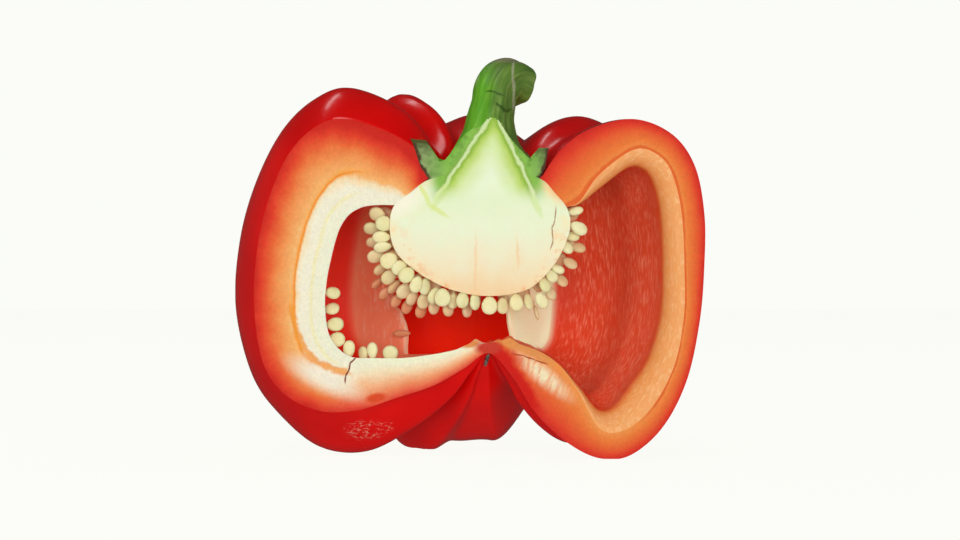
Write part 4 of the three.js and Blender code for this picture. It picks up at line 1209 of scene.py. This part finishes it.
wire(tree, shader, {"Base Color": bark, "Normal": bump, "Roughness": 0.45})

# The stem's cut face: wet pale green pith in an arch, with darker green outside it and brown torn edges,
# darkened by painted shade where the calyx meets the flesh.
stem_cut, tree, shader = new_material("cut stem")
coords = add(tree, "TexCoord", ()).outputs["Object"]
growth = add(tree, "Attribute", (), attribute_name="growth").outputs["Vector"]
tooth = add(tree, "SeparateXYZ", (growth,)).outputs["Z"]
x = add(tree, "SeparateXYZ", (coords,)).outputs["X"]
off_axis = add(tree, "Math", (x, AXIS_X * MM), operation="SUBTRACT")
off_axis = add(tree, "Math", (off_axis,), operation="ABSOLUTE")
outer = add(tree, "MapRange", (off_axis, 8 * MM, 12.5 * MM))
greens, inside_arch = arch_colour(tree, coords)
pith = painted(tree, greens, "#8FA468", outer)
mottle = add(tree, "TexNoise", {"Vector": coords, "Scale": 1 / (1.2 * MM), "Detail": 4})
patches = add(tree, "TexNoise", {"Vector": coords, "Scale": 1 / (2.4 * MM), "Detail": 5, "Roughness": 0.65})
dark_here = add(tree, "MapRange", (patches, 0.46, 0.62, 0, 0.6))
outside_arch = add(tree, "MapRange", (inside_arch, 0.42, 0.34))
dark_here = add(tree, "Math", (dark_here, outside_arch), operation="MULTIPLY")
pith = painted(tree, pith, "#4F7A2C", dark_here)
unevenly = add(tree, "Math", (tooth, mottle), operation="MULTIPLY")
torn = add(tree, "MapRange", (unevenly, 0.1, 0.5, 0, 0.85))
pith = painted(tree, pith, "#4E5C30", torn)
# Brown torn edges of the calyx against the flesh, made darker by painted shade of the gap between them.
TORN_EDGES_AND_GAP_SHADE = (
    (((-15.2, 63.4), (-13.6, 58.8), (-12, 56.2)), 1.1, 1.6, 1, "#4A3420", 1),
    (((12.2, 62.2), (11.4, 58.6), (10.4, 56.2)), 1.1, 1.6, 1, "#4A3420", 1),
)
pith = with_lines(tree, coords, pith, TORN_EDGES_AND_GAP_SHADE)
surface = {
    "Base Color": pith,
    "Roughness": 0.5,
    "Subsurface Weight": 0.2,
    "Subsurface Radius": (0.7, 1.0, 0.4),
    "Subsurface Scale": 1 * MM,
}
wire(tree, shader, surface)


def stem_line():
    """The stem's middle line and radius: its straight foot, then an arc over to the back and the right."""
    x, back, z, radius = STEM_PATH[-1]
    towards = math.radians(STEM_BEND["azimuth"])
    share = np.arange(1, STEM_BEND["steps"] + 1) / STEM_BEND["steps"]
    a = np.radians(STEM_BEND["turn"]) * share
    over = STEM_BEND["radius"] * (1 - np.cos(a))
    widen = radius + (STEM_BEND["end_radius"] - radius) * share
    rise = z + STEM_BEND["radius"] * np.sin(a)
    arc = np.stack([x + over * math.cos(towards), back + over * math.sin(towards), rise, widen], axis=1)
    return np.concatenate([STEM_PATH, arc])


def calyx_teeth(angles):
    """How far the teeth reach out and up at angles: each is a flat-topped bell, torn at its edge, and those
    that stood in front of the cut are gone."""
    out = np.zeros_like(angles)
    up = np.zeros_like(angles)
    ragged = 1 + 0.1 * np.sin(np.radians(angles * 23)) + 0.08 * np.sin(np.radians(angles * 41 + 40))
    for angle, far, high, half in CALYX_TEETH:
        off = np.abs((angles - angle + 180) % 360 - 180) / half
        bell = np.exp(-(off**4)) * ragged
        out = np.maximum(out, far * bell)
        up = np.maximum(up, high * bell)
    return out, up


def share_in_front(angles):
    """1 at the angles where the knife took the calyx away in front, easing to 0 at the cut."""
    return smooth(-np.sin(np.radians(angles)), 0, CUT_EASE)


def calyx_ring(offset, height, front_height, out_share, up_share, angles):
    """A ring of the calyx at an offset from the wall's rim, toothed behind the cut and level in front."""
    rim = RIGHT_SKIN[0, 0] + (LEFT_SKIN[0, 0] - RIGHT_SKIN[0, 0]) * left_share(angles)
    a = np.radians(angles)
    front = share_in_front(angles)
    out, up = calyx_teeth(angles)
    radius = rim + offset + out * out_share * (1 - front)
    z = (height + up * up_share) * (1 - front) + front_height * front
    return np.stack([AXIS_X + radius * np.cos(a), CUT_Y + radius * np.sin(a), z], axis=-1)


def stem_rings(angles):
    """Rings up the stem, each turned square to the middle line, with soft ridges round it."""
    line = stem_line()
    last = len(line) - 1
    u = np.linspace(0, last, STEM_ROWS + 1)
    centre = open_curve(line, u)
    ahead = open_curve(line, np.minimum(u + 0.05, last))
    behind = open_curve(line, np.maximum(u - 0.05, 0))
    along = to_unit((ahead - behind)[:, :3])
    upright = (1 - smooth(u, 0, 2))[:, None]
    along = to_unit(along * (1 - upright) + np.array([0, 0, 1]) * upright)
    a = np.radians(angles)
    wide = 1 + STEM_RIDGE_HEIGHT * np.cos(STEM_RIDGES * a) + 0.012 * np.sin(11 * a + 0.6)
    radius = centre[:, 3:4] * wide[None, :]
    flat = np.stack([np.cos(a), np.sin(a), np.zeros_like(a)], axis=-1)
    tilt = along + np.array([0, 0, 1])
    swing = (along @ flat.T) / (1 + along[:, 2:3])
    turned = flat[None] - swing[..., None] * tilt[:, None, :]
    middle = centre[:, :3] + np.array([AXIS_X, CUT_Y, 0])
    return middle[:, None, :] + radius[..., None] * turned, middle[-1], along[-1]


def stem_piece():
    """Rings from under the middle of the calyx, out to its toothed rim, back in over its top and up the stem
    to its end. What reaches in front of the cut is pressed back onto it and is the cut face."""
    angles = np.linspace(0, 360, STEM_COLUMNS, endpoint=False)
    rings = [np.broadcast_to([AXIS_X, CUT_Y, CALYX_BELOW], (STEM_COLUMNS, 3))]
    rings += [calyx_ring(*each, angles) for each in CALYX_RINGS]
    stalk, end, onward = stem_rings(angles)
    rings += list(stalk)
    for share, further in STEM_END_RINGS:
        rings.append(end + (stalk[-1] - end) * share + onward * further)
    grid = np.stack(rings)
    rows = len(rings)
    cut_line = CUT_Y + STEM_BEHIND
    in_front = grid[..., 1] < cut_line + 0.001
    grid[..., 1] = np.maximum(grid[..., 1], cut_line)
    quads = quads_between(round_ids(rows, STEM_COLUMNS)[:, ::-1])
    flat = in_front.ravel()[quads].all(axis=1)
    tooth = np.zeros((rows, STEM_COLUMNS))
    tooth[3:5] = np.minimum(calyx_teeth(angles)[1] / BROWN_FROM, 1) * (1 - share_in_front(angles))
    grown = np.linspace(0, 1, rows)[:, None] * np.ones(STEM_COLUMNS)
    around = np.broadcast_to(angles / 360, (rows, STEM_COLUMNS))
    growth = np.stack([around, grown, tooth], axis=-1).reshape(-1, 3)
    groups = ((quads[~flat], stem_skin), (quads[flat], stem_cut))
    low, high = (np.array(corner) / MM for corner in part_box("stem"))
    points = grid.reshape(-1, 3)
    points = np.clip(points, np.minimum(low, [-100, CUT_Y, 55]), high)
    return made_piece("stem", points, groups, growth=growth)


stem = stem_piece()
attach(stem, "root")
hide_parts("stem")

# The blossom scar: the dry grey stub of the flower's style, which stays on the skin in the dimple under the
# fruit, just behind the cut. Its middle line is x from the axis, mm behind the cut, height and radius.
SCAR_PATH = ((0.1, 1.3, 21.4, 0.34), (-0.1, 1.2, 20.2, 0.4), (-0.4, 0.9, 19.2, 0.36), (-0.6, 0.7, 18.5, 0.26))
SCAR_ROWS = 12
SCAR_SIDES = 10

# Dead plant fibre: matt, brown-black to grey.
scar_dry, tree, shader = new_material("dry blossom scar")
coords = add(tree, "TexCoord", ()).outputs["Object"]
fibres = add(tree, "TexNoise", {"Vector": coords, "Scale": 1 / (0.3 * MM), "Detail": 2})
greys = add(tree, "ValToRGB", (fibres,), stops=((0.35, "#2A2320"), (0.7, "#7C746A")))
wire(tree, shader, {"Base Color": greys, "Roughness": 0.8})


def scar_piece():
    """Rings round the stub's middle line, level like the floor, closed to a point at either end."""
    centre = open_curve(SCAR_PATH, np.linspace(0, len(SCAR_PATH) - 1, SCAR_ROWS))
    lap = np.linspace(0, 2 * np.pi, SCAR_SIDES, endpoint=False)
    round_lap = np.stack([np.cos(lap), np.sin(lap), np.zeros_like(lap)], axis=-1)
    reach = centre[:, 3] * np.array([0, *np.ones(SCAR_ROWS - 2), 0])
    middle = centre[:, :3] + np.array([AXIS_X, CUT_Y, 0])
    points = middle[:, None, :] + reach[:, None, None] * round_lap
    quads = quads_between(round_ids(SCAR_ROWS, SCAR_SIDES))
    return made_piece("scar", points.reshape(-1, 3), ((quads, scar_dry),), 180)


scar = scar_piece()
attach(scar, "root")
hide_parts("wall")
